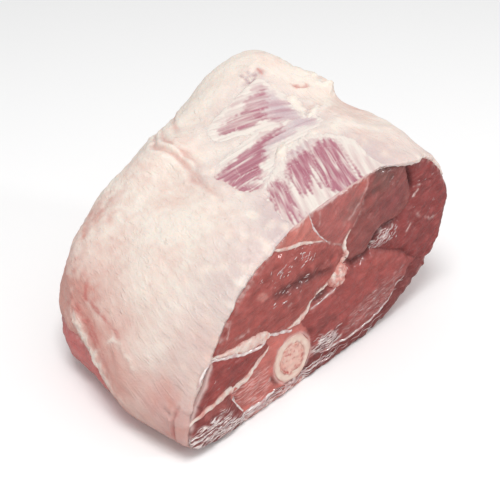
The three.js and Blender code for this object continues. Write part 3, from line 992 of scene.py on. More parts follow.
lean_rows = np.arange(0, shape[0], SIDE_STEP)
below_fat = np.clip(-rooms / BARE_FADE, 0, 1)
bare = below_fat * ease(2, 14, skin[..., 2]) * (patch_room.reshape(shape) > 0)
tatters = below_fat * (1 - ease(-54, -40, skin[..., 1])) * (1 - ease(20, 34, skin[..., 2]))
bundles = uneven(skin_points, *BUNDLES).reshape(shape) * bare
bundles += tatters * uneven(skin_points * TATTER_STRETCH, *TATTERS).reshape(shape)
side = (skin - outward * (depths - bundles)[..., None])[lean_rows]
side[..., 2] = np.maximum(side[..., 2], FLOOR_Z)
rim = side[0][:, [0, 2]]
rim_height, _ = face_relief(rim)
rim_height = RIM_SHARE * np.maximum(rim_height, RIM_LEAST) * ease(4, 14, rim[:, 1])
side[0, :, 1] = SAWN_Y - rim_height
side_points = side.reshape(-1, 3)
rear_tip = len(side_points)
rear_ring = rear_tip - COLUMNS
side_faces = skin_grid_faces(len(lean_rows))
side_faces += [[rear_ring + c, rear_tip, rear_ring + (c + 1) % COLUMNS] for c in range(COLUMNS)]
print("sides of the lean:", len(side_points), "points")

# %% Net of points on the sawn face
NET_STEP = 0.75
FRAYED_STEP = 0.42
NET_INSIDE = 0.6
FRAYED_ENOUGH = 0.5


def point_net(step):
    """An even net of points in rows over the sawn face, kept a little inside its rim."""
    across = np.arange(rim[:, 0].min(), rim[:, 0].max(), step)
    upward = np.arange(rim[:, 1].min(), rim[:, 1].max(), step * math.sqrt(0.75))
    rows = np.stack(np.meshgrid(across, upward), -1)
    rows[1::2, :, 0] += step / 2
    rows = rows.reshape(-1, 2)
    return rows[room_outside(rows, rim) < -NET_INSIDE * step]


even_net, fine_net = point_net(NET_STEP), point_net(FRAYED_STEP)
net = np.vstack([
    even_net[frayed_at(even_net) < FRAYED_ENOUGH],
    fine_net[frayed_at(fine_net) >= FRAYED_ENOUGH],
])
plan = np.vstack([rim, net])
rim_edges = [(c, (c + 1) % COLUMNS) for c in range(COLUMNS)]
rim_face = [list(range(COLUMNS))]
filled = delaunay_2d_cdt([Vector(point) for point in plan], rim_edges, rim_face, 1, 1e-6)
face_triangles, plan_from = filled[2], filled[3]
print("sawn face:", len(plan), "points,", len(face_triangles), "triangles")

# %% Raise the sawn face
RIM_SOFT = 1.4
LIP_HOLLOW = 1.6
LIP_HOLLOW_AT, LIP_HOLLOW_WIDE = 0.6, 2.0
BONE_TILT = math.radians(125.0)
BONE_RADII = (12.8, 11.5)
BONE_COLLAR = 0.6
BONE_PIT = 3.0


def bone_share(points):
    """Distance from the bone's middle as a share of the way to its outer edge."""
    u, v = along_fibres(points - BONE_AT, BONE_TILT).T
    return np.hypot(u / BONE_RADII[0], v / BONE_RADII[1])


relief, muscle_of = face_relief(plan)
rim_gap = np.maximum(-room_outside(plan, rim), 0)
rim_finder = KDTree(COLUMNS)
for number, (px, pz) in enumerate(rim):
    rim_finder.insert((px, pz, 0), number)
rim_finder.balance()
nearest_rim = np.array([rim_finder.find((px, pz, 0))[1] for px, pz in plan])
at_rim = rim_height[nearest_rim]
relief = at_rim + (relief - at_rim) * (1 - np.exp(-rim_gap / RIM_SOFT))
under_lip = lip_share(plan[:, 0], plan[:, 1]) * bump_at(rim_gap - LIP_HOLLOW_AT, LIP_HOLLOW_WIDE)
relief -= LIP_HOLLOW * under_lip
plan_bone_share = bone_share(plan)
relief += (BONE_COLLAR - relief) * (1 - ease(0.98, 1.12, plan_bone_share))
relief -= (BONE_PIT + relief) * (1 - ease(0.88, 0.97, plan_bone_share))
lean_points = np.vstack([
    side_points,
    [pole - UP_LEG * FAT_IN_FULL],
    np.stack([net[:, 0], SAWN_Y - relief[COLUMNS:], net[:, 1]], 1),
])
net_first = rear_tip + 1
lean_id = np.concatenate([np.arange(COLUMNS), np.arange(net_first, net_first + len(net))])
corner_id = [int(lean_id[origin[0]]) for origin in plan_from]
face_faces = [[corner_id[corner] for corner in triangle] for triangle in face_triangles]
print("relief of the sawn face:", relief.min().round(2), "to", relief.max().round(2), "mm")

# %% [markdown]
# ## Colour of the lean, with painted shade and glints
# Every muscle works differently and so has its own red. The colour is stored on the vertices, one for
# each muscle, with thin pale films where a sheath or a trace of fat crosses the cut. Painted shade darkens
# the grooves, the hollow under the lip of fat and two broad patches, and two pale lines are painted
# glints. Bare meat on the sides has one red, paler at the left, under a patchy grey-pink membrane.


# %% Flesh colours and painted shade of the cut
def srgb(red, green, blue):
    """A colour given on a screen's scale from 0 to 255, as the linear values that shaders use."""
    picked = np.array([red, green, blue]) / 255
    return np.where(picked <= 0.04045, picked / 12.92, ((picked + 0.055) / 1.055) ** 2.4)


def tint(colours, share, colour):
    """Colours moved towards one colour by a share from 0 to 1."""
    return colours + np.clip(share, 0, 1)[:, None] * (srgb(*colour) - colours)


# Patches of another colour on the cut, two of them painted shade: middle, radii, colour, strength
STAINS_AND_PAINTED_SHADE = [
    ((-11, 94), (10, 5), (158, 104, 124), 0.7),
    ((6, 79), (8, 7), (150, 104, 98), 0.55),
    ((13, 91), (6, 4), (190, 96, 86), 0.6),
    ((26, 86), (8, 9), (116, 80, 74), 0.6),
    ((34, 70), (11, 8), (142, 68, 70), 0.5),
    ((5, 61), (3, 6), (164, 80, 74), 0.6),
    ((-53.5, 63), (3.4, 2.6), (204, 138, 128), 0.85),
    # Painted shade: a broad dark band along the furrow of the big left muscle
    ((-30, 59), (20, 4.5), (112, 56, 54), 0.5),
    ((-36, 47), (14, 4), (142, 70, 66), 0.4),
    ((-14, 63), (10, 5), (136, 66, 62), 0.45),
    ((-65, 62), (12, 9), (172, 88, 82), 0.4),
    # Painted shade: dark among the frayed strands beside the bone
    ((-10, 15), (12, 5.5), (92, 44, 46), 0.65),
    ((-14, 27), (11, 4), (120, 62, 60), 0.5),
    ((25, 40), (18, 5), (172, 84, 76), 0.5),
    ((30, 22), (20, 6), (146, 82, 78), 0.4),
    ((60, 40), (12, 10), (138, 68, 66), 0.4),
    ((-58, 14), (9, 5), (190, 108, 100), 0.5),
    ((-72, 34), (12, 5), (146, 74, 72), 0.4),
    ((-92, 30), (6, 7), (160, 80, 76), 0.4),
    ((-80, 19), (9, 3), (178, 98, 92), 0.6),
]
PAINTED_GROOVE_SHADE = (70, 32, 34)
PAINTED_LIP_SHADOW = (72, 34, 34)
FLESH_CLOUDS = [(0.05, 10, 56)]
FLESH_STREAKS = [(0.05, 4, 57)]
FLESH_STRETCH = [0.15, 1]

fibre_plan = along_fibres(plan, FIBRE_ANGLE[muscle_of])
face_flesh = np.array([srgb(*colour) for colour in MUSCLE_COLOURS])[muscle_of]
stain_wander = uneven(plan, (0.2, 6, 55))
for middle, radii, colour, strength in STAINS_AND_PAINTED_SHADE:
    out_from = from_spot(plan, middle, radii) + stain_wander
    face_flesh = tint(face_flesh, strength * (1 - ease(0.4, 1.2, out_from)), colour)
# Painted shade: each groove is darkened towards a deep red along its line, more where it is deeper.
for line, deep, wide in groove_lines:
    gap, along = distance_to(plan, line)
    dark = min(0.75, 0.45 * deep) * bump_at(gap, 1.5 * wide) * tapered(along, power=0.4)
    face_flesh = tint(face_flesh, dark, PAINTED_GROOVE_SHADE)
lightness = 1 + uneven(plan, *FLESH_CLOUDS) + uneven(fibre_plan * FLESH_STRETCH, *FLESH_STREAKS)
# The lightness varies at random, and the hollow under the overhanging lip of fat gets a painted shadow.
face_flesh = tint(face_flesh * lightness[:, None], 0.7 * under_lip, PAINTED_LIP_SHADOW)
print(len(STAINS_AND_PAINTED_SHADE), "stains on the cut")

# %% Films and painted glints on the cut
# Pale lines across the cut, the last two of them painted glints: points, half width in mm, strength
FILM_AND_GLINT_LINES = [
    (UPPER_SEAM[1:], 0.4, 0.6),
    ([(-19, 90), (-17, 84), (-17.5, 80)], 0.5, 0.35),
    ([(15, 90), (13, 84), (9, 79), (4, 75.5), (-1, 73)], 0.8, 0.4),
    ([(-67, 67.5), (-63.5, 70.8), (-59.5, 73)], 0.6, 0.75),
    ([(-74.5, 53), (-73, 57), (-72.5, 60)], 0.6, 0.5),
    ([(-68, 49.6), (-65, 49.4), (-62, 50)], 0.9, 0.5),
    ([(-38, 49.2), (-31, 50.8)], 0.4, 0.5),
    ([(52, 70), (60, 70.4)], 0.4, 0.5),
    ([(62, 50), (66, 47), (71, 46.6)], 0.6, 0.6),
    ([(54, 56), (57, 52)], 0.8, 0.35),
    ([(-21, 39), (-15, 40.2), (-10, 41.3), (-5, 42.5)], 0.5, 0.6),
    (BROWN_LEFT[2:6], 0.5, 0.25),
    # Painted glints: two short white lines on the muscle at the right, where wet ridges shine
    ([(51.5, 65), (54, 68)], 0.5, 0.9),
    ([(47.2, 48.4), (50.6, 51)], 0.6, 0.9),
]
plan_x, plan_z = plan.T
frayed = frayed_at(plan)
broken = np.clip(0.75 + uneven(plan, (0.45, 4, 51)), 0, 1)
film_wander = uneven(plan, (0.15, 2, 52))
films_and_glints = []
for line, width, strength in FILM_AND_GLINT_LINES:
    gap, _ = distance_to(plan, smooth_curve(line))
    films_and_glints.append(strength * broken * bump_at(gap + film_wander, width))
round_bone = bump_at((plan_bone_share - 1.04) * 12, 0.7)
along_rim = np.exp(-rim_gap / 0.9) * ease(-0.3, 0.8, ripples(plan, 5, 58))
torn_edge = np.maximum(0.75 + uneven(plan, (0.45, 3, 59)), 0.15)
under_front_patch = (plan_z > PATCH_FLOOR_Z) * ease(-35, -32, plan_x) * (1 - ease(22, 27, plan_x))
on_strands = frayed * ease(0.6, 0.95, strands_at(plan, muscle_of))
left_rim = (plan_x < -82) * ease(14, 20, plan_z) * (1 - ease(42, 47, plan_z))
films_and_glints += [
    0.5 * round_bone,
    0.4 * along_rim,
    0.8 * under_front_patch * bump_at(rim_gap, torn_edge),
    # Pale crests of the frayed strands: white membrane, partly painted glints
    0.25 * on_strands,
    0.8 * left_rim * bump_at(rim_gap - 0.7, 1.5),
]
film_and_glints = np.max(films_and_glints, axis=0)
print("films cover", round(100 * (film_and_glints > 0.3).mean()), "percent of the cut")

# %% Colour the lean
SIDE_FLESH = (172, 88, 84)
LEFT_FLESH = (212, 120, 117)
PATCH_FLESH = (176, 112, 122)
SIDE_FILMS = [(0.1, 9, 53), (0.07, 3, 54)]
SIDE_STRETCH = [0.3, 0.25, 1]
TIP_FILM = 0.3


def on_sides(values):
    """A map on the skin grid, as one value for each point of the lean's sides."""
    return values.reshape(shape)[lean_rows].ravel()


side_flesh = np.tile(srgb(*SIDE_FLESH), (len(side_points), 1))
side_flesh[on_sides(patch_room) < 2] = srgb(*PATCH_FLESH)
left_patch = 1 - ease(-92, -80, side_points[:, 0])
side_flesh = tint(side_flesh, left_patch * ease(-50, -44, side_points[:, 1]), LEFT_FLESH)
side_film = np.clip(0.2 + uneven(side_points * SIDE_STRETCH, *SIDE_FILMS), 0.04, 0.5)
side_film *= 1 - 0.75 * left_patch
under_strip = left_patch * bump_at(on_sides(foot_room) + 1.5, 1.4)
specks = np.clip(0.3 + uneven(side_points, (0.7, 2.6, 50)), 0, 1)
side_film = np.maximum(side_film, 0.6 * under_strip * specks)
side_frayed = 0.2 * on_sides(tatters)
side_fibres = side_points[:, [1, 2, 0]]
face_fibres = np.column_stack([fibre_plan, np.zeros(len(plan))])
# The rim belongs to the sides and to the cut, and takes the looks of the cut
side_flesh[:COLUMNS] = face_flesh[:COLUMNS]
side_film[:COLUMNS] = film_and_glints[:COLUMNS]
side_frayed[:COLUMNS] = frayed[:COLUMNS]
side_fibres[:COLUMNS, :2] = fibre_plan[:COLUMNS]
lean_meat = make_piece("lean_meat", lean_points, side_faces + face_faces, ["lean"], {
    "flesh": np.vstack([side_flesh, [srgb(*SIDE_FLESH)], face_flesh[COLUMNS:]]),
    "film_and_glints": np.concatenate([side_film, [TIP_FILM], film_and_glints[COLUMNS:]]),
    "frayed": np.concatenate([side_frayed, [0], frayed[COLUMNS:]]),
    "fibres": np.vstack([side_fibres, [[0, 0, 0]], face_fibres[COLUMNS:]]),
})

# %% [markdown]
# ## Silverskin in the trimmed patches
# Where the fat was cut away, a thin silvery sheath lies over the muscle. It is purple where it is clear,
# white where it is thick, and streaked along the fibres. It is a thin closed sheet on a fine grid, tucked
# under the edges of the fat.

# %% Lay the sheath in the patches
SHEATH_STEP = 0.45
SHEATH_MARGIN = 3.0
SHEATH_FROM, SHEATH_TO = (-36, SAWN_Y), (34, 23)
# The lie of the fibres in each patch, in degrees
PATCH_GRAIN = {"upper": -28, "middle": -10, "front": 60}
skin_tree = BVHTree.FromPolygons(skin_points.tolist(), skin_grid_faces(shape[0]))


def skin_height(points):
    """Height of the skin above each (x, y) point."""
    falls = [skin_tree.ray_cast(Vector((px, py, FAR)), Vector((0, 0, -1)))[0] for px, py in points]
    return np.array([hit.z if hit else np.nan for hit in falls])


sheath_axes = [np.arange(low, high, SHEATH_STEP) for low, high in zip(SHEATH_FROM, SHEATH_TO)]
sheath_plan = np.stack(np.meshgrid(*sheath_axes, indexing="ij"), -1)
flat = sheath_plan.reshape(-1, 2)
patch_gap = np.array([room_outside(flat, patch_loops[name]) for name in PATCH_GRAIN])
sheath_room = patch_gap.min(0)
near_patches = sheath_room < SHEATH_MARGIN + 1
tops = np.full(len(flat), np.nan)
tops[near_patches] = skin_height(flat[near_patches])
print("sheath grid", sheath_plan.shape[:2])

# %% Clear and white places of the sheath
# Where the sheath is clear and the purple muscle shows through it, as loops of (x, y)
CLEAR_AREAS = {
    "upper": [
        (28, 18.5), (26.5, 14), (20, 8.5), (15.6, 5), (19.6, -4), (9.4, 1.3), (1.9, 5.6), (-6, 11.5),
        (-4.5, 16), (2.3, 16.6), (7, 14.6), (10.5, 14), (14, 16.5), (18, 17.6), (22, 17),
    ],
    "middle": [
        (-7.5, -2.5), (-4, -4.5), (0.5, -5), (5, -4.5), (10.5, -5), (16.5, -5.5), (13.5, -7), (7, -7),
        (0, -8.5), (-5, -14), (-9.5, -17.5), (-15.5, -21), (-21.5, -26), (-27.5, -27), (-29.5, -23),
        (-29.5, -16.5), (-28.5, -8), (-24, -6.5), (-17.5, -4), (-12, -2.5),
    ],
    "front middle": [
        (-7.5, -27.5), (0, -25.5), (7.5, -25), (8.5, -29), (2, -36), (-7.5, -42.5), (-14.5, -46.5),
        (-14.5, -41.5), (-12, -34.5),
    ],
    "front left": [
        (-22.5, -31), (-15.5, -28.5), (-16, -35), (-20.5, -43.5), (-25.5, -52.5), (-29.5, -60),
        (-30, -46.5), (-27.5, -38.5),
    ],
    "front right": [
        (11.5, -27), (18, -25), (24, -27), (22, -35), (17.5, -43), (6, -60), (0, -60), (-6.5, -47.5),
        (0.5, -38.5),
    ],
}
# How much white veils each clear area, and how much that veil comes and goes in stripes
VEILS = {
    "upper": (0.34, 0.16),
    "middle": (0.03, 0.05),
    "front middle": (0.0, 0.08),
    "front left": (0.2, 0.2),
    "front right": (0.1, 0.18),
}
# Whiter lines: points, half width in mm
WHITE_BANDS = [
    ([(-27, -7.3), (-19, -9), (-12, -10), (-8, -10.2)], 0.5),
    ([(-29, -15.5), (-22, -16.5), (-15, -18)], 0.3),
    ([(-28.5, -19.8), (-23, -20.5), (-18, -21.6)], 0.35),
    ([(-27, -24), (-22, -24.6)], 0.28),
    ([(-15, -44), (-10, -36), (-5, -29)], 0.4),
    ([(-3, -50), (3, -41), (10, -30)], 0.5),
    ([(2, -56), (9, -44), (16, -30)], 0.55),
    ([(8, -56), (14, -46), (20, -31)], 0.7),
    ([(14, -54), (20, -42), (24, -31)], 1.0),
    ([(-26, -56), (-24, -46), (-21, -36)], 0.5),
]
# Dry grey places: middle, radii, strength
LILAC_SPOTS = [
    ((24, 2), (9, 14), 1.0),
    ((8, -11), (14, 5), 0.8),
    ((24, -10), (11, 6), 1.0),
    ((4, -22), (12, 3), 0.7),
]
STREAK_STRETCH = [0.09, 1]
print(len(CLEAR_AREAS), "clear areas,", len(WHITE_BANDS), "white bands")

# %% Streaks of the sheath
grain = np.radians(list(PATCH_GRAIN.values()))[patch_gap.argmin(0)]
sheath_fibres = along_fibres(flat, grain)
stretched = sheath_fibres * STREAK_STRETCH
white = np.clip(0.86 + uneven(stretched, (0.14, 4, 69)), 0.5, 1)
streaks = uneven(stretched, (0.8, 3, 61)) + uneven(flat, (0.4, 2.6, 65))
stripes = uneven(stretched, (1, 3.6, 62), (0.8, 1.6, 66))
for name, loop in CLEAR_AREAS.items():
    inside = streaks - room_outside(flat, smooth_curve(loop, closed=True))
    veil, swing = VEILS[name]
    veiled = np.minimum(white, np.clip(veil + swing * stripes, 0, 1))
    white += ease(-1.8, 1.6, inside) * (veiled - white)
from_knife, _ = distance_to(flat, CUT_EDGE)
fade = ease(-3.0, 0.2, sheath_room + 0.8 * streaks + uneven(flat, (1.4, 11, 60)))
fade *= ease(2, 8, from_knife) * ease(-52, -44, flat[:, 1])
white = np.maximum(white, fade)
band_wander = uneven(stretched, (0.4, 3, 63))
for line, width in WHITE_BANDS:
    gap, along = distance_to(flat, smooth_curve(line))
    white = np.maximum(white, 0.8 * bump_at(gap + band_wander, width) * tapered(along, 0.05, 0.4))
crossing = bump_at(ripples(sheath_fibres * [1, 0.2], 6, 67), 0.1)
white = np.maximum(white, 0.5 * crossing * ease(-0.5, 0.8, ripples(flat, 12, 68)))
spots = [strength * bump_at(from_spot(flat, middle, radii), 1) for middle, radii, strength in LILAC_SPOTS]
lilac = np.max(spots, axis=0) * (1 - 0.8 * fade)
print("sheath:", round(100 * (1 - white[sheath_room < 0]).mean()), "percent clear")

# %% Close the sheath
SHEATH_SUNK = 1.25
SHEATH_THICK = 0.5
SHEATH_EDGE_DIP = 0.25
SHEATH_PROUD = 0.25


def sheet_mesh(keep):
    """Faces of a thin closed sheet over the kept points of a grid: a top, a bottom and a wall between."""
    cells = keep[:-1, :-1] & keep[1:, :-1] & keep[1:, 1:] & keep[:-1, 1:]
    used = {}
    tops_of_cells = []
    for a, b in zip(*np.nonzero(cells)):
        corners = ((a, b), (a + 1, b), (a + 1, b + 1), (a, b + 1))
        tops_of_cells.append([used.setdefault(corner, len(used)) for corner in corners])
    count = len(used)
    faces = []
    for (a, b), ids in zip(zip(*np.nonzero(cells)), tops_of_cells):
        faces.append(ids)
        faces.append([i + count for i in ids[::-1]])
        for k, (da, db) in enumerate(((0, -1), (1, 0), (0, 1), (-1, 0))):
            na, nb = a + da, b + db
            beside = 0 <= na < cells.shape[0] and 0 <= nb < cells.shape[1] and cells[na, nb]
            if not beside:
                one, two = ids[k], ids[(k + 1) % 4]
                faces.append([two, one, one + count, two + count])
    return faces, np.ravel_multi_index(tuple(np.array(list(used)).T), keep.shape)


sheath_top = tops - SHEATH_SUNK + 0.2 * (white - 0.4) + uneven(stretched, (0.1, 2.6, 64))
sheath_top -= SHEATH_EDGE_DIP * ease(1, SHEATH_MARGIN, sheath_room)
sheath_keep = (sheath_room < SHEATH_MARGIN) & ~np.isnan(tops)
sheath_faces, sheath_at = sheet_mesh(sheath_keep.reshape(sheath_plan.shape[:2]))
top_points = np.column_stack([flat[sheath_at], sheath_top[sheath_at]])
top_points[:, 1] -= SHEATH_PROUD * (top_points[:, 1] < SAWN_Y + 0.1)
sheath_points = np.vstack([top_points, top_points - np.array([0, 0, SHEATH_THICK])])
silverskin = make_piece("silverskin", sheath_points, sheath_faces, ["lean"], {
    "white": np.tile(np.clip(white, 0, 1)[sheath_at], 2),
    "lilac": np.tile(lilac[sheath_at], 2),
    "fibres": np.tile(np.column_stack([sheath_fibres, np.zeros(len(flat))])[sheath_at], (2, 1)),
})

# %% [markdown]
# ## Bone and marrow
# The thigh bone is a sawn tube, slightly flattened, filled with soft marrow. Both run back into the meat
# as far as the solids do. A tube is one profile carried round an oval, so a lathe of our own is enough,
# with the rim wobbled by the seeded unevenness so that it doesn't look turned on a machine.

# %% Lathe round an oval
AROUND = 96
WOBBLE, WOBBLE_LENGTH, WOBBLE_SEED = 0.28, 9, 71
WOBBLE_STRETCH = 0.4


def back_of(node):
    """How far back one of the frame's solids runs, in leg millimetres."""
    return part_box(node)[1][1] / MM - LEG_TO_FRAME[1]


def oval_point(angle, share):
    """A point of the bone's section: share 1 is its outer edge."""
    u = BONE_RADII[0] * share * np.cos(angle)
    v = BONE_RADII[1] * share * np.sin(angle)
    return np.stack([
        BONE_AT[0] + u * math.cos(BONE_TILT) - v * math.sin(BONE_TILT),
        BONE_AT[1] + u * math.sin(BONE_TILT) + v * math.cos(BONE_TILT),
    ], -1)


def lathe(profile):
    """Rings of points for a profile of (share of the outer edge, y) carried round the bone's oval."""
    angle = np.linspace(0, 2 * np.pi, AROUND, endpoint=False)
    rings = []
    for share, depth in profile:
        plane = oval_point(angle, np.full(AROUND, share))
        place = np.column_stack([plane, np.full(AROUND, depth * WOBBLE_STRETCH)])
        wobble = WOBBLE * ripples(place, WOBBLE_LENGTH, WOBBLE_SEED)
        plane = oval_point(angle, share + wobble * min(1, share * 2) / BONE_RADII[0])
        rings.append(np.column_stack([plane[:, 0], np.full(AROUND, depth), plane[:, 1]]))
    return np.array(rings)


# %% Bone
MARROW_SHARE = 0.655
INSIDE_Y = -30.0
SAWN_RINGS = 12
bone_back = back_of("femur")
bone_profile = [
    (MARROW_SHARE, bone_back),
    (MARROW_SHARE, INSIDE_Y),
    (MARROW_SHARE, BONE_END_Y + 0.5),
    (MARROW_SHARE + 0.006, BONE_END_Y + 0.1),
]
sawn = slice(len(bone_profile), len(bone_profile) + SAWN_RINGS)
bone_profile += [(share, BONE_END_Y) for share in np.linspace(MARROW_SHARE + 0.02, 0.955, SAWN_RINGS)]
bone_profile += [(0.985, BONE_END_Y + 0.25), (1.0, BONE_END_Y + 0.9), (1.0, INSIDE_Y), (1.0, bone_back)]
bone_rings = lathe(bone_profile)
bone_rings[sawn, :, 1] += uneven(bone_rings[sawn][..., [0, 2]] * [1, 3.5], (0.07, 6, 72))
bone_points = bone_rings.reshape(-1, 3)
bone_out = bone_share(bone_points[:, [0, 2]])
bone_low_down = 1 - ease(BONE_AT[1] - 4, BONE_AT[1] + 6, bone_points[:, 2])
by_marrow = bump_at((bone_out - MARROW_SHARE) * 9, 0.8)
by_marrow *= np.clip(0.45 + 0.3 * bone_low_down + uneven(bone_points, (0.4, 4, 78)), 0, 1)
by_flesh = bump_at((bone_out - 1) * 9, 0.9) * np.clip(0.7 + uneven(bone_points, (0.3, 5, 79)), 0, 1)
bone_faces = ring_faces(len(bone_profile), AROUND, closed=True)
bone = make_piece("thigh_bone", bone_points, bone_faces, ["femur"], {
    "blush": np.clip(by_marrow + 0.6 * by_flesh, 0, 1),
})

# %% Marrow
SOFT_RINGS = 16
marrow_profile = [(share, BONE_END_Y - 0.1) for share in np.linspace(0.03, 0.63, SOFT_RINGS)]
marrow_profile += [(0.651, BONE_END_Y + 0.15), (0.652, -40), (0.652, bone_back), (0.03, bone_back)]
marrow_rings = lathe(marrow_profile)
marrow_rings[:SOFT_RINGS, :, 1] -= uneven(marrow_rings[:SOFT_RINGS][..., [0, 2]], (0.12, 4, 74))
marrow_points = marrow_rings.reshape(-1, 3)
last_ring = (len(marrow_profile) - 1) * AROUND
marrow_ends = [list(range(AROUND))[::-1], [last_ring + c for c in range(AROUND)]]
marrow_faces = ring_faces(len(marrow_profile), AROUND) + marrow_ends
marrow_out = bone_share(marrow_points[:, [0, 2]])
marrow_low_down = 1 - ease(BONE_AT[1] - 6, BONE_AT[1] + 5, marrow_points[:, 2])
by_edge = bump_at((marrow_out - 0.57) * 10, 0.9)
dots = ease(0.4, 1.2, ripples(marrow_points, 1.7, 75)) * by_edge * (0.3 + 0.7 * marrow_low_down)
dots += 0.6 * ease(1.2, 1.9, ripples(marrow_points, 2.0, 76))
dots += 0.35 * ease(0.2, 1.2, ripples(marrow_points, 3.0, 80)) * by_edge * marrow_low_down
marrow = make_piece("bone_marrow", marrow_points, marrow_faces, ["marrow"], {
    "blush": np.clip(0.35 + uneven(marrow_points, (0.25, 4, 77)) + 0.3 * by_edge, 0, 1),
    "vein": np.clip(dots, 0, 1),
})

# %% [markdown]
# ## Seams of fat
# Between the muscles run seams of soft fat. On the cut each is a band of changing width that fills its
# groove and crowns a little, and it runs back into the meat. A band is a grid along and across its middle
# line, set on the relief of the face, then closed by a plain back.

# %% Make a band
ALONG_STEPS = 72
ACROSS_STEPS = 10
BACK_SHARE = 0.8
BAND_WIDTH_UNEVEN = [(0.12, 9, 81)]
BAND_WANDER = [(0.08, 4, 82)]
BAND_LUMPS = [(0.16, 3, 83)]
BAND_SUNK = 0.25


def band_outline(wide):
    """The points round the edge of a band's grid, in order."""
    last = ALONG_STEPS - 1
    one_side = [a * wide for a in range(ALONG_STEPS)]
    far_end = [last * wide + b for b in range(1, wide)]
    other_side = [a * wide + wide - 1 for a in range(last - 1, -1, -1)]
    near_end = list(range(wide - 2, 0, -1))
    return one_side + far_end + other_side + near_end


def seam_band(points, crown, back_y):
    """Points and faces of one closed band of fat, and how near each point is to the band's edge."""
    middle = smooth_curve(points, steps=20)
    place = np.linspace(0, len(middle) - 1, ALONG_STEPS)
    middle = np.stack([np.interp(place, np.arange(len(middle)), column) for column in middle.T], 1)
    heading = np.gradient(middle[:, :2], axis=0)
    heading /= np.linalg.norm(heading, axis=1, keepdims=True)
    sideways = np.stack([-heading[:, 1], heading[:, 0]], 1)[:, None]
    half = (middle[:, 2] * (1 + uneven(middle[:, :2], *BAND_WIDTH_UNEVEN)))[:, None]
    offset = np.sin(np.linspace(-np.pi / 2, np.pi / 2, ACROSS_STEPS + 1))
    plane = middle[:, None, :2] + (half * offset)[..., None] * sideways
    plane += (np.minimum(1, half / 0.8) * uneven(plane, *BAND_WANDER))[..., None] * sideways
    edge_height, _ = face_relief(plane[:, [0, -1]].reshape(-1, 2))
    edge_height = edge_height.reshape(-1, 2).mean(1)
    dome = np.sqrt(np.clip(1 - offset ** 2, 0, 1))
    height = edge_height[:, None] - BAND_SUNK * (1 - dome) + crown * dome * np.minimum(1, half / 0.9)
    height += uneven(plane, *BAND_LUMPS) * dome * np.minimum(1, half / 1.5)
    front_points = np.stack([plane[..., 0], SAWN_Y - height, plane[..., 1]], -1)
    back_points = AXIS + BACK_SHARE * (front_points - AXIS)
    back_points[..., 1] = back_y
    wide = ACROSS_STEPS + 1
    count = ALONG_STEPS * wide
    faces = []
    for a in range(ALONG_STEPS - 1):
        for b in range(ACROSS_STEPS):
            ids = [a * wide + b, (a + 1) * wide + b, (a + 1) * wide + b + 1, a * wide + b + 1]
            faces += [ids, [i + count for i in ids[::-1]]]
    outline = band_outline(wide)
    for one, two in zip(outline, outline[1:] + outline[:1]):
        faces.append([two, one, one + count, two + count])
    near_edge = np.tile(np.abs(offset), 2 * ALONG_STEPS)
    return np.vstack([front_points.reshape(-1, 3), back_points.reshape(-1, 3)]), faces, near_edge


# %% Fill the seams
# Each seam: points of (x, z, half width), crown in mm
SEAM_FATS = {
    "seam_fat_upper": ([
        (-46, 81, 0.5), (-42, 79.4, 0.9), (-37, 77.8, 1.1), (-33, 77, 0.9), (-29, 76.5, 1.0), (-25, 75, 0.7),
        (-20, 72.8, 0.5), (-14, 70.6, 0.35),
    ], 0.35),
    "fat_nodule": ([
        (-1.5, 53.4, 0.9), (0.8, 55, 2.4), (2.4, 56.6, 1.9), (1.5, 58.8, 1.2), (1, 61, 1.1), (1.3, 64, 0.8),
        (3, 66, 0.6), (6, 67.2, 0.3),
    ], 0.8),
    "seam_fat_main": ([
        (-36, 36.2, 0.5), (-31.5, 36.5, 1.4), (-27.5, 37.3, 2.0), (-24, 39, 1.8), (-20.5, 42.5, 0.7),
        (-16, 44.9, 0.8), (-12, 46.3, 1.5), (-9.8, 47.2, 1.9),
    ], 0.6),
    "seam_fat_lower": ([
        (-84, 46.4, 0.4), (-75, 45, 1.2), (-66, 43, 2.7), (-58, 42, 3.8), (-52.5, 41, 3.4), (-48.5, 40, 1.4),
    ], 0.8),
    "seam_fat_toe": ([
        (-97, 19.6, 0.9), (-88, 21.6, 1.5), (-80, 22.8, 2.0), (-74, 23.8, 2.4), (-67, 23.6, 2.5),
        (-60, 25.6, 1.8), (-55.5, 28.6, 1.4), (-50, 31.2, 0.9), (-47, 33, 0.35),
    ], 0.4),
}
seam_pieces = []
for name, (points, crown) in SEAM_FATS.items():
    band_points, band_faces, near_edge = seam_band(points, crown, back_of(name))
    band_pink = 0.25 + uneven(band_points, (0.25, 6, 84)) + 0.65 * ease(0.5, 1, near_edge)
    seam_pieces.append(make_piece(name + "_band", band_points, band_faces, [name], {
        "blush": np.clip(band_pink, 0, 1),
        "vein": 0.5 * ease(1.2, 2.0, ripples(band_points, 3, 85)),
        "drawn": band_points,
    }))

# %% [markdown]
# ## The round nodule and the wet sheaths
# In the middle of the cut sits one round knot of fat, pink and mottled, which is a dome on a polar grid.
# The sheaths of the muscles show between them as narrow wet bands; they are made like the seams, but lie
# only in the groove.

# %% Nodule
NODULE_AT = np.array([-3.5, 47.8])
NODULE_RADIUS = 6.0
NODULE_CROWN = 2.2
NODULE_SUNK = 0.3
NODULE_WHITE_AT, NODULE_WHITE_WIDE = np.array([-7.5, 50.5]), 2.2
DOME_RINGS, DOME_AROUND = 16, 64
DOME_LOBES = [(0.06, 7, 101), (0.02, 2.5, 102)]
DOME_LUMPS = [(0.25, 3.2, 103)]


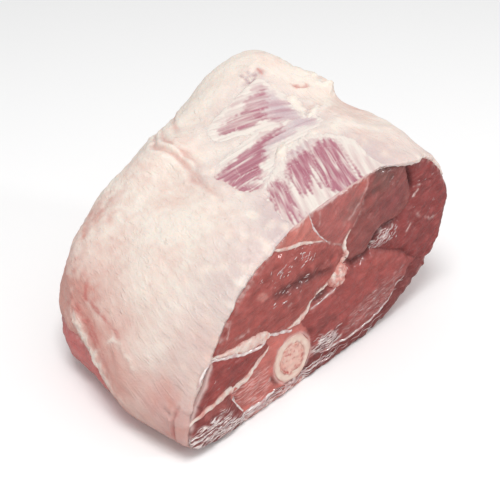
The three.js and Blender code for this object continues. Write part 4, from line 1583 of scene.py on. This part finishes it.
def dome_mesh(middle, radius, crown, back_y):
    """A dome on the sawn face with walls that run straight back, on a polar grid."""
    turn_round = np.linspace(0, 2 * np.pi, DOME_AROUND, endpoint=False)
    spokes = np.stack([np.cos(turn_round), np.sin(turn_round)], 1)
    lobes = 1 + uneven(spokes * radius, *DOME_LOBES)
    out = np.linspace(0.02, 1, DOME_RINGS)
    plane = middle + radius * out[:, None, None] * (lobes[:, None] * spokes)
    edge_height, _ = face_relief(plane[-1])
    dome = np.sqrt(np.clip(1 - out ** 2, 0, 1))[:, None]
    height = edge_height.mean() - NODULE_SUNK + crown * dome + uneven(plane, *DOME_LUMPS) * dome
    points = np.stack([plane[..., 0], SAWN_Y - height, plane[..., 1]], -1)
    back = points[-1].copy()
    back[:, 1] = back_y
    ends = [list(range(DOME_AROUND))[::-1], [DOME_RINGS * DOME_AROUND + c for c in range(DOME_AROUND)]]
    return np.vstack([points.reshape(-1, 3), back]), ends + ring_faces(DOME_RINGS + 1, DOME_AROUND)


nodule_points, nodule_faces = dome_mesh(NODULE_AT, NODULE_RADIUS, NODULE_CROWN, back_of("fat_nodule"))
nodule_plan = nodule_points[:, [0, 2]]
nodule_out = np.linalg.norm(nodule_plan - NODULE_AT, axis=1) / NODULE_RADIUS
nodule_white = 0.8 * bump_at(np.linalg.norm(nodule_plan - NODULE_WHITE_AT, axis=1), NODULE_WHITE_WIDE)
nodule_pink = 0.8 + uneven(nodule_plan, (0.25, 4, 104)) + 0.3 * ease(0.7, 1, nodule_out)
nodule_red = 0.75 * ease(0.1, 1.3, ripples(nodule_plan, 2.6, 105)) * ease(0.1, 0.6, nodule_out)
seam_pieces.append(make_piece("round_nodule", nodule_points, nodule_faces, ["fat_nodule"], {
    "blush": np.clip(nodule_pink - nodule_white, 0, 1),
    "vein": np.clip(nodule_red - nodule_white, 0, 1),
    "drawn": nodule_points,
}))

# %% Wet sheaths between the muscles
WET_SHEATH_BACK_Y = SAWN_Y + 4.0
WET_SHEATH_CROWN = 0.35
# Each sheath: points of (x, z, half width)
WET_SHEATHS = [
    [(-48, 39.6, 0.6), (-43, 37.2, 0.9), (-38, 35.6, 1.0), (-33.5, 33.8, 0.8)],
    [(-23.6, 88.6, 0.3), (-22.5, 85.6, 0.35), (-20.5, 80.6, 0.45), (-17.5, 76, 0.6), (-13.5, 71.6, 0.35),
     (-10.5, 68.6, 0.3)],
    [(-70, 17.6, 0.3), (-67.3, 13, 0.5), (-64, 7.6, 0.5)],
    [(-12, 9.2, 0.5), (0, 8, 0.8), (10, 6.6, 0.7), (20, 7.5, 0.8), (30, 9, 0.7), (38, 12.5, 0.45),
     (45, 18.4, 0.4), (52, 22.5, 0.3)],
    [(-64, 6, 0.6), (-56, 5.6, 0.9), (-48, 7, 1.0), (-44, 7.4, 0.7)],
    [(-25, 4.6, 0.7), (-15, 4.2, 0.6), (-5, 3.2, 0.4)],
    [(-21, 39, 0.3), (-15, 40.2, 0.35), (-10, 41.3, 0.35), (-5, 42.5, 0.3)],
    [(-83, 45.0, 0.4), (-86.5, 43.2, 0.6), (-89.5, 40.4, 0.6), (-91.5, 37, 0.4)],
    [(-84, 45.2, 0.4), (-75, 42.9, 0.8), (-66, 39.7, 1.0), (-58, 37.5, 1.0), (-52, 36.8, 0.8),
     (-48.6, 37.6, 0.4)],
]
wet_points, wet_faces = np.zeros((0, 3)), []
for points in WET_SHEATHS:
    band_points, band_faces, _ = seam_band(points, WET_SHEATH_CROWN, WET_SHEATH_BACK_Y)
    wet_faces += [[len(wet_points) + corner for corner in face] for face in band_faces]
    wet_points = np.vstack([wet_points, band_points])
wet_sheaths = make_piece("wet_sheaths", wet_points, wet_faces, [], {
    "blush": np.clip(0.35 + uneven(wet_points, (0.35, 5, 86)), 0, 1),
})

# %% [markdown]
# ## Torn threads of membrane, and painted glints
# A saw tears the fine white sheaths of the muscles. They lie on the cut as wet threads, most of them on
# the dark lump at the left, beside the bone and along the lower edge. Short white flecks made the same way
# in the cleft, on the big left muscle and on the brown and right muscles are painted glints. Each is a thin
# tube that wanders over the relief.

# %% Draw the threads
THREAD_STEPS = 10
THREAD_SLOPE_SPREAD = 6.0
THREAD_WAVE = 0.05
THREAD_SEED = 91
# Each zone: lower left corner, upper right corner, number, length in mm, slope in degrees, thickness
THREAD_AND_GLINT_ZONES = [
    ((-99, 4), (-72, 15.5), 64, 4.5, 8, 0.22),
    ((-20, 10.5), (-1, 21), 46, 3.2, 16, 0.2),
    ((-72, 3), (-8, 6.5), 50, 11, 3, 0.22),
    ((-18, 3), (30, 6.5), 10, 9, 4, 0.18),
    # Painted glints: the zones in the cleft, on the big left muscle and on the brown and right muscles hold
    # short white flecks for the shine of wet ridges
    ((21, 49), (39, 56), 46, 2.5, 30, 0.22),
    ((-44, 64), (-20, 76), 34, 1.8, 22, 0.2),
    ((-47, 53), (-25, 60), 18, 1.8, 16, 0.19),
    ((-62, 62), (-46, 74), 8, 1.5, 20, 0.13),
    ((28, 78), (46, 88), 8, 1.4, 20, 0.12),
    ((5, 14), (48, 30), 26, 2.6, 3, 0.1),
    ((46, 52), (72, 74), 8, 1.5, 15, 0.12),
    ((-92, 28), (-62, 38), 6, 1.4, 10, 0.1),
]


def draw_threads(seed):
    """The middle line of each thread on the sawn face, and its thickness at each step."""
    draw = np.random.default_rng(seed)
    lines, thickness = [], []
    t = np.linspace(-0.5, 0.5, THREAD_STEPS)
    for low, high, count, length, slope_degrees, thick in THREAD_AND_GLINT_ZONES:
        for _ in range(count):
            angle = math.radians(slope_degrees + draw.normal() * THREAD_SLOPE_SPREAD)
            size = length * draw.uniform(0.5, 1.4)
            line = draw.uniform(low, high) + size * t[:, None] * np.array([math.cos(angle), math.sin(angle)])
            wave = t * draw.uniform(0.7, 1.6) + draw.uniform()
            line[:, 1] += THREAD_WAVE * size * np.sin(2 * np.pi * wave)
            lines.append(line)
            thickness.append(thick * draw.uniform(0.6, 1.4) * tapered(np.linspace(0.06, 0.94, THREAD_STEPS)))
    return np.array(lines), np.array(thickness)


thread_lines, thread_radii = draw_threads(THREAD_SEED)
every_step = thread_lines.reshape(-1, 2)
on_meat = (room_outside(every_step, rim) < -0.8) & (bone_share(every_step) > 1.04)
kept_threads = on_meat.reshape(thread_radii.shape).all(1)
thread_lines, thread_radii = thread_lines[kept_threads], thread_radii[kept_threads]
print(len(thread_lines), "threads")

# %% Lay the threads
THREAD_SIDES = 5
THREAD_FLATNESS = 0.7
THREAD_LIFT = 0.06
THREAD_BLUSH_SEED = 92


def thread_tubes(lines, radii):
    """Points and faces of all the threads as separate closed tubes that lie on the cut."""
    height, _ = face_relief(lines.reshape(-1, 2))
    height = height.reshape(radii.shape)[..., None] + THREAD_LIFT
    turns = np.linspace(0, 2 * np.pi, THREAD_SIDES, endpoint=False)
    out_of_face = SAWN_Y - height - THREAD_FLATNESS * radii[..., None] * np.cos(turns)
    up_face = lines[..., 1:] + radii[..., None] * np.sin(turns)
    across_face = np.broadcast_to(lines[..., :1], up_face.shape)
    points = np.stack([across_face, out_of_face, up_face], -1).reshape(-1, 3)
    faces = []
    for first in range(0, len(points), THREAD_STEPS * THREAD_SIDES):
        last = first + (THREAD_STEPS - 1) * THREAD_SIDES
        faces += ring_faces(THREAD_STEPS, THREAD_SIDES, first=first)
        faces.append(list(range(first, first + THREAD_SIDES))[::-1])
        faces.append(list(range(last, last + THREAD_SIDES)))
    return points, faces


thread_points, thread_faces = thread_tubes(thread_lines, thread_radii)
thread_blush = np.random.default_rng(THREAD_BLUSH_SEED).uniform(0, 0.9, len(thread_lines))
threads = make_piece("membrane_threads_and_glints", thread_points, thread_faces, [], {
    "blush": np.repeat(thread_blush, THREAD_STEPS * THREAD_SIDES),
})

# %% [markdown]
# ## Shader steps
# A few steps come back from finish to finish: reading a mask from the vertices, blending two colours,
# adding or multiplying two values, and moving a value to another range.


# %% Steps of a finish
def mask(tree, name, output="Fac"):
    """The vertex mask of that name."""
    return put(tree, "ShaderNodeAttribute", attribute_name=name).outputs[output]


def blend(tree, share, one, two):
    """One colour turning into another as share goes from 0 to 1."""
    one = one if isinstance(one, bpy.types.NodeSocket) else (*srgb(*one), 1)
    two = two if isinstance(two, bpy.types.NodeSocket) else (*srgb(*two), 1)
    return put(tree, "ShaderNodeMix", {0: share, 6: one, 7: two}, data_type="RGBA").outputs[2]


def times(tree, one, two):
    """Two values multiplied and kept from 0 to 1."""
    return put(tree, "ShaderNodeMath", {0: one, 1: two}, operation="MULTIPLY", use_clamp=True).outputs[0]


def plus(tree, one, two):
    """Two values added and kept from 0 to 1."""
    return put(tree, "ShaderNodeMath", {0: one, 1: two}, operation="ADD", use_clamp=True).outputs[0]


def ranged(tree, value, low, high, to_low=0.0, to_high=1.0):
    """A value moved from one range to another and kept inside it."""
    sockets = {"Value": value, "From Min": low, "From Max": high, "To Min": to_low, "To Max": to_high}
    return put(tree, "ShaderNodeMapRange", sockets).outputs["Result"]


# %% [markdown]
# ## Shared effects
# Four effects show on more than one finish, so each is a node group. Mottling is the cloudy change of
# colour in fat and flesh. Grain is the stretched texture of cut fibres. Wisps are fine curling lines, as
# of tiny blood vessels and wrinkles. Wetness varies the gloss, because a moist film never lies evenly.
# Mottling and wetness work in object space, which is metres here because every piece sits at the origin
# of the frame. The other two follow places in millimetres that are stored on the vertices.


# %% Node groups
def new_group(name, inputs, outputs):
    """An empty node group with named float or vector sockets."""
    tree = bpy.data.node_groups.new(name, "ShaderNodeTree")
    for label, value in inputs.items():
        kind = "NodeSocketVector" if value is None else "NodeSocketFloat"
        socket = tree.interface.new_socket(name=label, in_out="INPUT", socket_type=kind)
        if value is not None:
            socket.default_value = value
    for label in outputs:
        tree.interface.new_socket(name=label, in_out="OUTPUT", socket_type="NodeSocketFloat")
    return tree, put(tree, "NodeGroupInput").outputs, put(tree, "NodeGroupOutput")


def noise(tree, place, scale, detail, sockets=None, **options):
    """A cloudy value from 0 to 1 that changes from place to place."""
    sockets = {"Vector": place, "Scale": scale, "Detail": detail, **(sockets or {})}
    return put(tree, "ShaderNodeTexNoise", sockets, **options).outputs["Fac"]


def object_place(tree):
    """Where a point is on the object, in metres."""
    return put(tree, "ShaderNodeTexCoord").outputs["Object"]


def make_mottling():
    """Soft clouds: a mask from 0 to 1."""
    inputs = {"Clouds Per Metre": 60.0, "Low": 0.35, "High": 0.65}
    tree, given, result = new_group("mottling", inputs, ["Mask"])
    clouds = noise(tree, object_place(tree), given["Clouds Per Metre"], 5.0)
    feed(tree, result, {"Mask": ranged(tree, clouds, given["Low"], given["High"])})
    return tree


def make_grain():
    """Streaks along the fibres: a height, and the dark and pale streaks as masks."""
    inputs = {"Fibres": None, "Stretch": 0.1, "Bundles": 0.7, "Waviness": 0.4}
    tree, given, result = new_group("cut fibre grain", inputs, ["Height", "Dark", "Pale"])
    split = put(tree, "ShaderNodeSeparateXYZ", {"Vector": given["Fibres"]}).outputs
    stretch = {0: split["X"], 1: given["Stretch"]}
    drawn = put(tree, "ShaderNodeMath", stretch, operation="MULTIPLY").outputs[0]
    place = put(tree, "ShaderNodeCombineXYZ", {"X": drawn, "Y": split["Y"], "Z": split["Z"]}).outputs[0]
    wavy = {"Roughness": 0.6, "Distortion": given["Waviness"]}
    fine = noise(tree, place, given["Bundles"], 4.0, sockets=wavy)
    dark, pale = ranged(tree, fine, 0.5, 0.3), ranged(tree, fine, 0.55, 0.75)
    feed(tree, result, {"Height": fine, "Dark": dark, "Pale": pale})
    return tree


def make_wisps():
    """Fine curling lines: a mask from 0 to 1, and a height."""
    inputs = {"Place": None, "Lines Per Unit": 0.3, "Low": 0.6, "High": 1.0}
    tree, given, result = new_group("wisps", inputs, ["Mask", "Height"])
    ridged = {"noise_type": "RIDGED_MULTIFRACTAL", "normalize": True}
    lines = noise(tree, given["Place"], given["Lines Per Unit"], 4.0, sockets={"Distortion": 0.6}, **ridged)
    feed(tree, result, {"Mask": ranged(tree, lines, given["Low"], given["High"]), "Height": lines})
    return tree


def make_wetness():
    """Patches of damp and dry: a roughness."""
    inputs = {"Dry": 0.5, "Wet": 0.25, "Patches Per Metre": 150.0}
    tree, given, result = new_group("wetness", inputs, ["Roughness"])
    patches = noise(tree, object_place(tree), given["Patches Per Metre"], 3.0)
    feed(tree, result, {"Roughness": ranged(tree, patches, 0.35, 0.65, given["Dry"], given["Wet"])})
    return tree


MOTTLING = make_mottling()
GRAIN = make_grain()
WISPS = make_wisps()
WETNESS = make_wetness()
print("node groups:", [group.name for group in bpy.data.node_groups])


# %% Place the shared effects
def use_group(tree, group, sockets):
    """The outputs of a shared effect, placed in a material with its own values."""
    return put(tree, "ShaderNodeGroup", sockets, node_tree=group).outputs


def mottled(tree, per_metre, low, high):
    """Mottling as a mask."""
    return use_group(tree, MOTTLING, {"Clouds Per Metre": per_metre, "Low": low, "High": high})["Mask"]


def wisps(tree, place, lines_per_unit, low, high):
    """Wisps, as a mask and a height."""
    sockets = {"Place": place, "Lines Per Unit": lines_per_unit, "Low": low, "High": high}
    return use_group(tree, WISPS, sockets)


def wet_roughness(tree, dry, wet, per_metre):
    """Wetness as a roughness."""
    return use_group(tree, WETNESS, {"Dry": dry, "Wet": wet, "Patches Per Metre": per_metre})["Roughness"]


# %% [markdown]
# ## Finishes
# All the finishes are a Principled shader with some light passing under the surface, since fat and flesh
# both glow a little from within. The masks choose the colour, the shared effects add clouding, grain and
# gloss.

# %% Start a finish
GLOW_DEPTH = 0.003


def new_finish(name, glow_radius, glow, coat, coat_roughness):
    """An empty material with its Principled shader, set for light that passes under the surface."""
    material = bpy.data.materials.new(name)
    material.use_nodes = True
    tree = material.node_tree
    shader = tree.nodes["Principled BSDF"]
    feed(tree, shader, {
        "Subsurface Weight": glow,
        "Subsurface Radius": glow_radius,
        "Subsurface Scale": GLOW_DEPTH,
        "Coat Weight": coat,
        "Coat Roughness": coat_roughness,
    })
    return material, tree, shader


def set_bump(tree, shader, height, distance_mm, strength):
    """Fine relief from a height value."""
    sockets = {"Height": height, "Distance": distance_mm * MM, "Strength": strength}
    feed(tree, shader, {"Normal": put(tree, "ShaderNodeBump", sockets).outputs["Normal"]})


# %% Fat finishes
THIN_FAT = (206, 186, 184)
TORN_FAT = (166, 130, 138)
OUTER_FAT = {"cream": (236, 224, 213), "pink": (207, 153, 142), "red": (190, 100, 94)}
SEAM_FAT = {"cream": (232, 214, 204), "pink": (210, 146, 136), "red": (178, 76, 72)}


def fat_finish(name, cream, pink, red):
    """Soft fat: cream with pink clouds and wisps, red veins, and muscle showing through where it is thin."""
    material, tree, shader = new_finish(name, (1.0, 0.6, 0.45), 0.25, 0.12, 0.3)
    drawn = mask(tree, "drawn", "Vector")
    blush = mask(tree, "blush")
    wrinkles = wisps(tree, drawn, 0.55, 0.35, 0.9)
    vessels = wisps(tree, drawn, 0.2, 0.6, 1.0)["Mask"]
    pinkness = plus(tree, blush, ranged(tree, mottled(tree, 90.0, 0.3, 0.75), 0, 1, -0.05, 0.07))
    wispy = times(tree, vessels, ranged(tree, blush, 0.0, 0.6, 0.2, 0.75))
    colour = blend(tree, plus(tree, pinkness, wispy), cream, pink)
    pale = times(tree, wrinkles["Mask"], ranged(tree, blush, 0.1, 0.6, 0.15, 0.55))
    colour = blend(tree, pale, colour, cream)
    colour = blend(tree, mask(tree, "thin"), colour, THIN_FAT)
    colour = blend(tree, times(tree, mask(tree, "vein"), 0.7), colour, red)
    colour = blend(tree, mask(tree, "torn"), colour, TORN_FAT)
    feed(tree, shader, {"Base Color": colour, "Roughness": wet_roughness(tree, 0.55, 0.36, 180.0)})
    pores = ranged(tree, mottled(tree, 900.0, 0.2, 0.8), 0, 1, 0, 0.3)
    set_bump(tree, shader, plus(tree, ranged(tree, wrinkles["Height"], 0, 1, 0, 0.7), pores), 0.75, 0.9)
    return material


fat_cap.data.materials.append(fat_finish("outer fat", **OUTER_FAT))
seam_finish = fat_finish("seam fat", **SEAM_FAT)
for piece in seam_pieces:
    piece.data.materials.append(seam_finish)
print("fat on", 1 + len(seam_pieces), "pieces")

# %% Wet membrane and painted glint finish
MEMBRANE_AND_GLINT_WHITE = (236, 221, 217)
MEMBRANE_PINK = (198, 150, 150)
MEMBRANE_ROUGHNESS = 0.2


def membrane_finish():
    """Wet membrane, and the white flecks that are painted glints: white to pink, and glossy."""
    material, tree, shader = new_finish("wet membrane and glint flecks", (1.0, 0.6, 0.5), 0.2, 1.0, 0.08)
    colour = blend(tree, mask(tree, "blush"), MEMBRANE_AND_GLINT_WHITE, MEMBRANE_PINK)
    feed(tree, shader, {"Base Color": colour, "Roughness": MEMBRANE_ROUGHNESS})
    return material


wet_membrane_and_glints = membrane_finish()
for piece in (wet_sheaths, threads):
    piece.data.materials.append(wet_membrane_and_glints)
print("wet membrane and glint flecks on the sheaths and threads")

# %% Lean finish
LEAN_SPECULAR = 0.32
LEAN_SHADE = 0.62
PALE_FIBRE = (206, 140, 132)
FILM_AND_GLINT_WHITE = (226, 198, 192)
FRAYED_PAINTED_SHADE = (112, 52, 51)
FRAYED_WHITE_AND_GLINT = (244, 230, 226)


def lean_finish():
    """Cut muscle: a red from the vertices with its painted shade, streaked along the fibres, with pale
    films, painted glints and frayed strands.
    """
    material, tree, shader = new_finish("lean", (1.0, 0.3, 0.2), 0.12, 0.3, 0.1)
    red = mask(tree, "flesh", "Color")
    along = mask(tree, "fibres", "Vector")
    frayed = mask(tree, "frayed")
    fibre = use_group(tree, GRAIN, {"Fibres": along, "Stretch": 0.2, "Bundles": 0.9})
    strand_values = {"Fibres": along, "Stretch": 0.14, "Bundles": 1.3, "Waviness": 0.25}
    strands = use_group(tree, GRAIN, strand_values)["Height"]
    specks = mottled(tree, 1300.0, 0.35, 0.65)
    darker = put(tree, "ShaderNodeHueSaturation", {"Value": LEAN_SHADE, "Color": red}).outputs[0]
    colour = blend(tree, times(tree, mottled(tree, 420.0, 0.3, 0.7), 0.18), red, darker)
    colour = blend(tree, times(tree, fibre["Dark"], 0.35), colour, darker)
    colour = blend(tree, times(tree, specks, 0.26), colour, darker)
    colour = blend(tree, times(tree, fibre["Pale"], 0.3), colour, PALE_FIBRE)
    # Pale films, and the white of the painted glint lines
    colour = blend(tree, mask(tree, "film_and_glints"), colour, FILM_AND_GLINT_WHITE)
    # Painted shade darkens the gaps between the frayed strands; their crests turn white, as white membrane
    # and partly as painted glints.
    colour = blend(tree, times(tree, ranged(tree, strands, 0.5, 0.38), frayed), colour, FRAYED_PAINTED_SHADE)
    colour = blend(tree, times(tree, ranged(tree, strands, 0.495, 0.545), frayed), colour, FRAYED_WHITE_AND_GLINT)
    feed(tree, shader, {
        "Base Color": colour,
        "Roughness": wet_roughness(tree, 0.5, 0.28, 260.0),
        "Specular IOR Level": LEAN_SPECULAR,
    })
    height = plus(tree, ranged(tree, fibre["Height"], 0, 1, 0, 0.5), ranged(tree, specks, 0, 1, 0, 0.12))
    strand_height = times(tree, ranged(tree, strands, 0.3, 0.7, 0, 0.4), frayed)
    set_bump(tree, shader, plus(tree, height, strand_height), 0.8, 0.7)
    return material


lean_meat.data.materials.append(lean_finish())
print("lean finish on the meat")

# %% Silverskin finish
SILVERSKIN_SPECULAR = 0.35
PURPLE, DEEP_PURPLE = (178, 116, 130), (164, 98, 114)
FIBRE_LILAC = (208, 172, 178)
LINE_WHITE = (220, 194, 194)
NET_LILAC = (216, 186, 188)
SHEATH_WHITE, SHEATH_LILAC = (232, 219, 210), (206, 188, 189)
WEAVE_PURPLE = (186, 160, 172)
NET_WHITE = (234, 222, 218)


def silverskin_finish():
    """The sheath over bare muscle: purple where clear, white where thick, lilac grey where it is dry."""
    material, tree, shader = new_finish("silverskin", (1.0, 0.45, 0.5), 0.12, 0.12, 0.2)
    along = mask(tree, "fibres", "Vector")
    lilac = mask(tree, "lilac")
    fibre = use_group(tree, GRAIN, {"Fibres": along, "Stretch": 0.1, "Bundles": 0.8})
    line_values = {"Fibres": along, "Stretch": 0.05, "Bundles": 1.3, "Waviness": 0.15}
    lines = use_group(tree, GRAIN, line_values)["Height"]
    net = wisps(tree, along, 0.22, 0.72, 1.0)["Mask"]
    colour = blend(tree, mottled(tree, 130.0, 0.3, 0.7), PURPLE, DEEP_PURPLE)
    colour = blend(tree, times(tree, fibre["Pale"], 0.2), colour, FIBRE_LILAC)
    colour = blend(tree, ranged(tree, lines, 0.58, 0.68, 0, 0.35), colour, LINE_WHITE)
    colour = blend(tree, times(tree, net, 0.6), colour, NET_LILAC)
    pale = blend(tree, lilac, SHEATH_WHITE, SHEATH_LILAC)
    woven = times(tree, mottled(tree, 1100.0, 0.35, 0.65), lilac)
    pale = blend(tree, times(tree, woven, 0.45), pale, WEAVE_PURPLE)
    pale = blend(tree, times(tree, net, 0.5), pale, NET_WHITE)
    veiled = plus(tree, ranged(tree, fibre["Height"], 0.3, 0.65, -0.1, 0.08), mask(tree, "white"))
    feed(tree, shader, {
        "Base Color": blend(tree, veiled, colour, pale),
        "Roughness": wet_roughness(tree, 0.45, 0.28, 260.0),
        "Specular IOR Level": SILVERSKIN_SPECULAR,
    })
    set_bump(tree, shader, fibre["Height"], 0.3, 0.6)
    return material


silverskin.data.materials.append(silverskin_finish())
print("silverskin finish on the patches")

# %% Bone and marrow finishes
BONE_CREAM, BONE_BEIGE, BONE_PINK = (234, 212, 198), (224, 198, 182), (206, 140, 130)
MARROW_BEIGE, MARROW_PINK, MARROW_RED = (232, 192, 178), (214, 150, 138), (182, 70, 66)
BONE_ROUGHNESS = 0.42
MARROW_ROUGHNESS = 0.3


def bone_finish():
    """Sawn bone: cream, with a pink tinge beside the marrow."""
    material, tree, shader = new_finish("bone", (1.0, 0.7, 0.5), 0.15, 0.1, 0.2)
    colour = blend(tree, mottled(tree, 300.0, 0.3, 0.7), BONE_CREAM, BONE_BEIGE)
    colour = blend(tree, mask(tree, "blush"), colour, BONE_PINK)
    feed(tree, shader, {"Base Color": colour, "Roughness": BONE_ROUGHNESS})
    set_bump(tree, shader, mottled(tree, 1200.0, 0.2, 0.8), 0.08, 0.5)
    return material


def marrow_finish():
    """Soft marrow: pink beige with small red dots."""
    material, tree, shader = new_finish("marrow", (1.0, 0.5, 0.4), 0.3, 0.4, 0.12)
    pinkness = times(tree, mottled(tree, 350.0, 0.3, 0.7), mask(tree, "blush"))
    colour = blend(tree, pinkness, MARROW_BEIGE, MARROW_PINK)
    colour = blend(tree, mask(tree, "vein"), colour, MARROW_RED)
    feed(tree, shader, {"Base Color": colour, "Roughness": MARROW_ROUGHNESS})
    set_bump(tree, shader, mottled(tree, 900.0, 0.2, 0.8), 0.15, 0.5)
    return material


bone.data.materials.append(bone_finish())
marrow.data.materials.append(marrow_finish())
print("materials:", [material.name for material in bpy.data.materials])
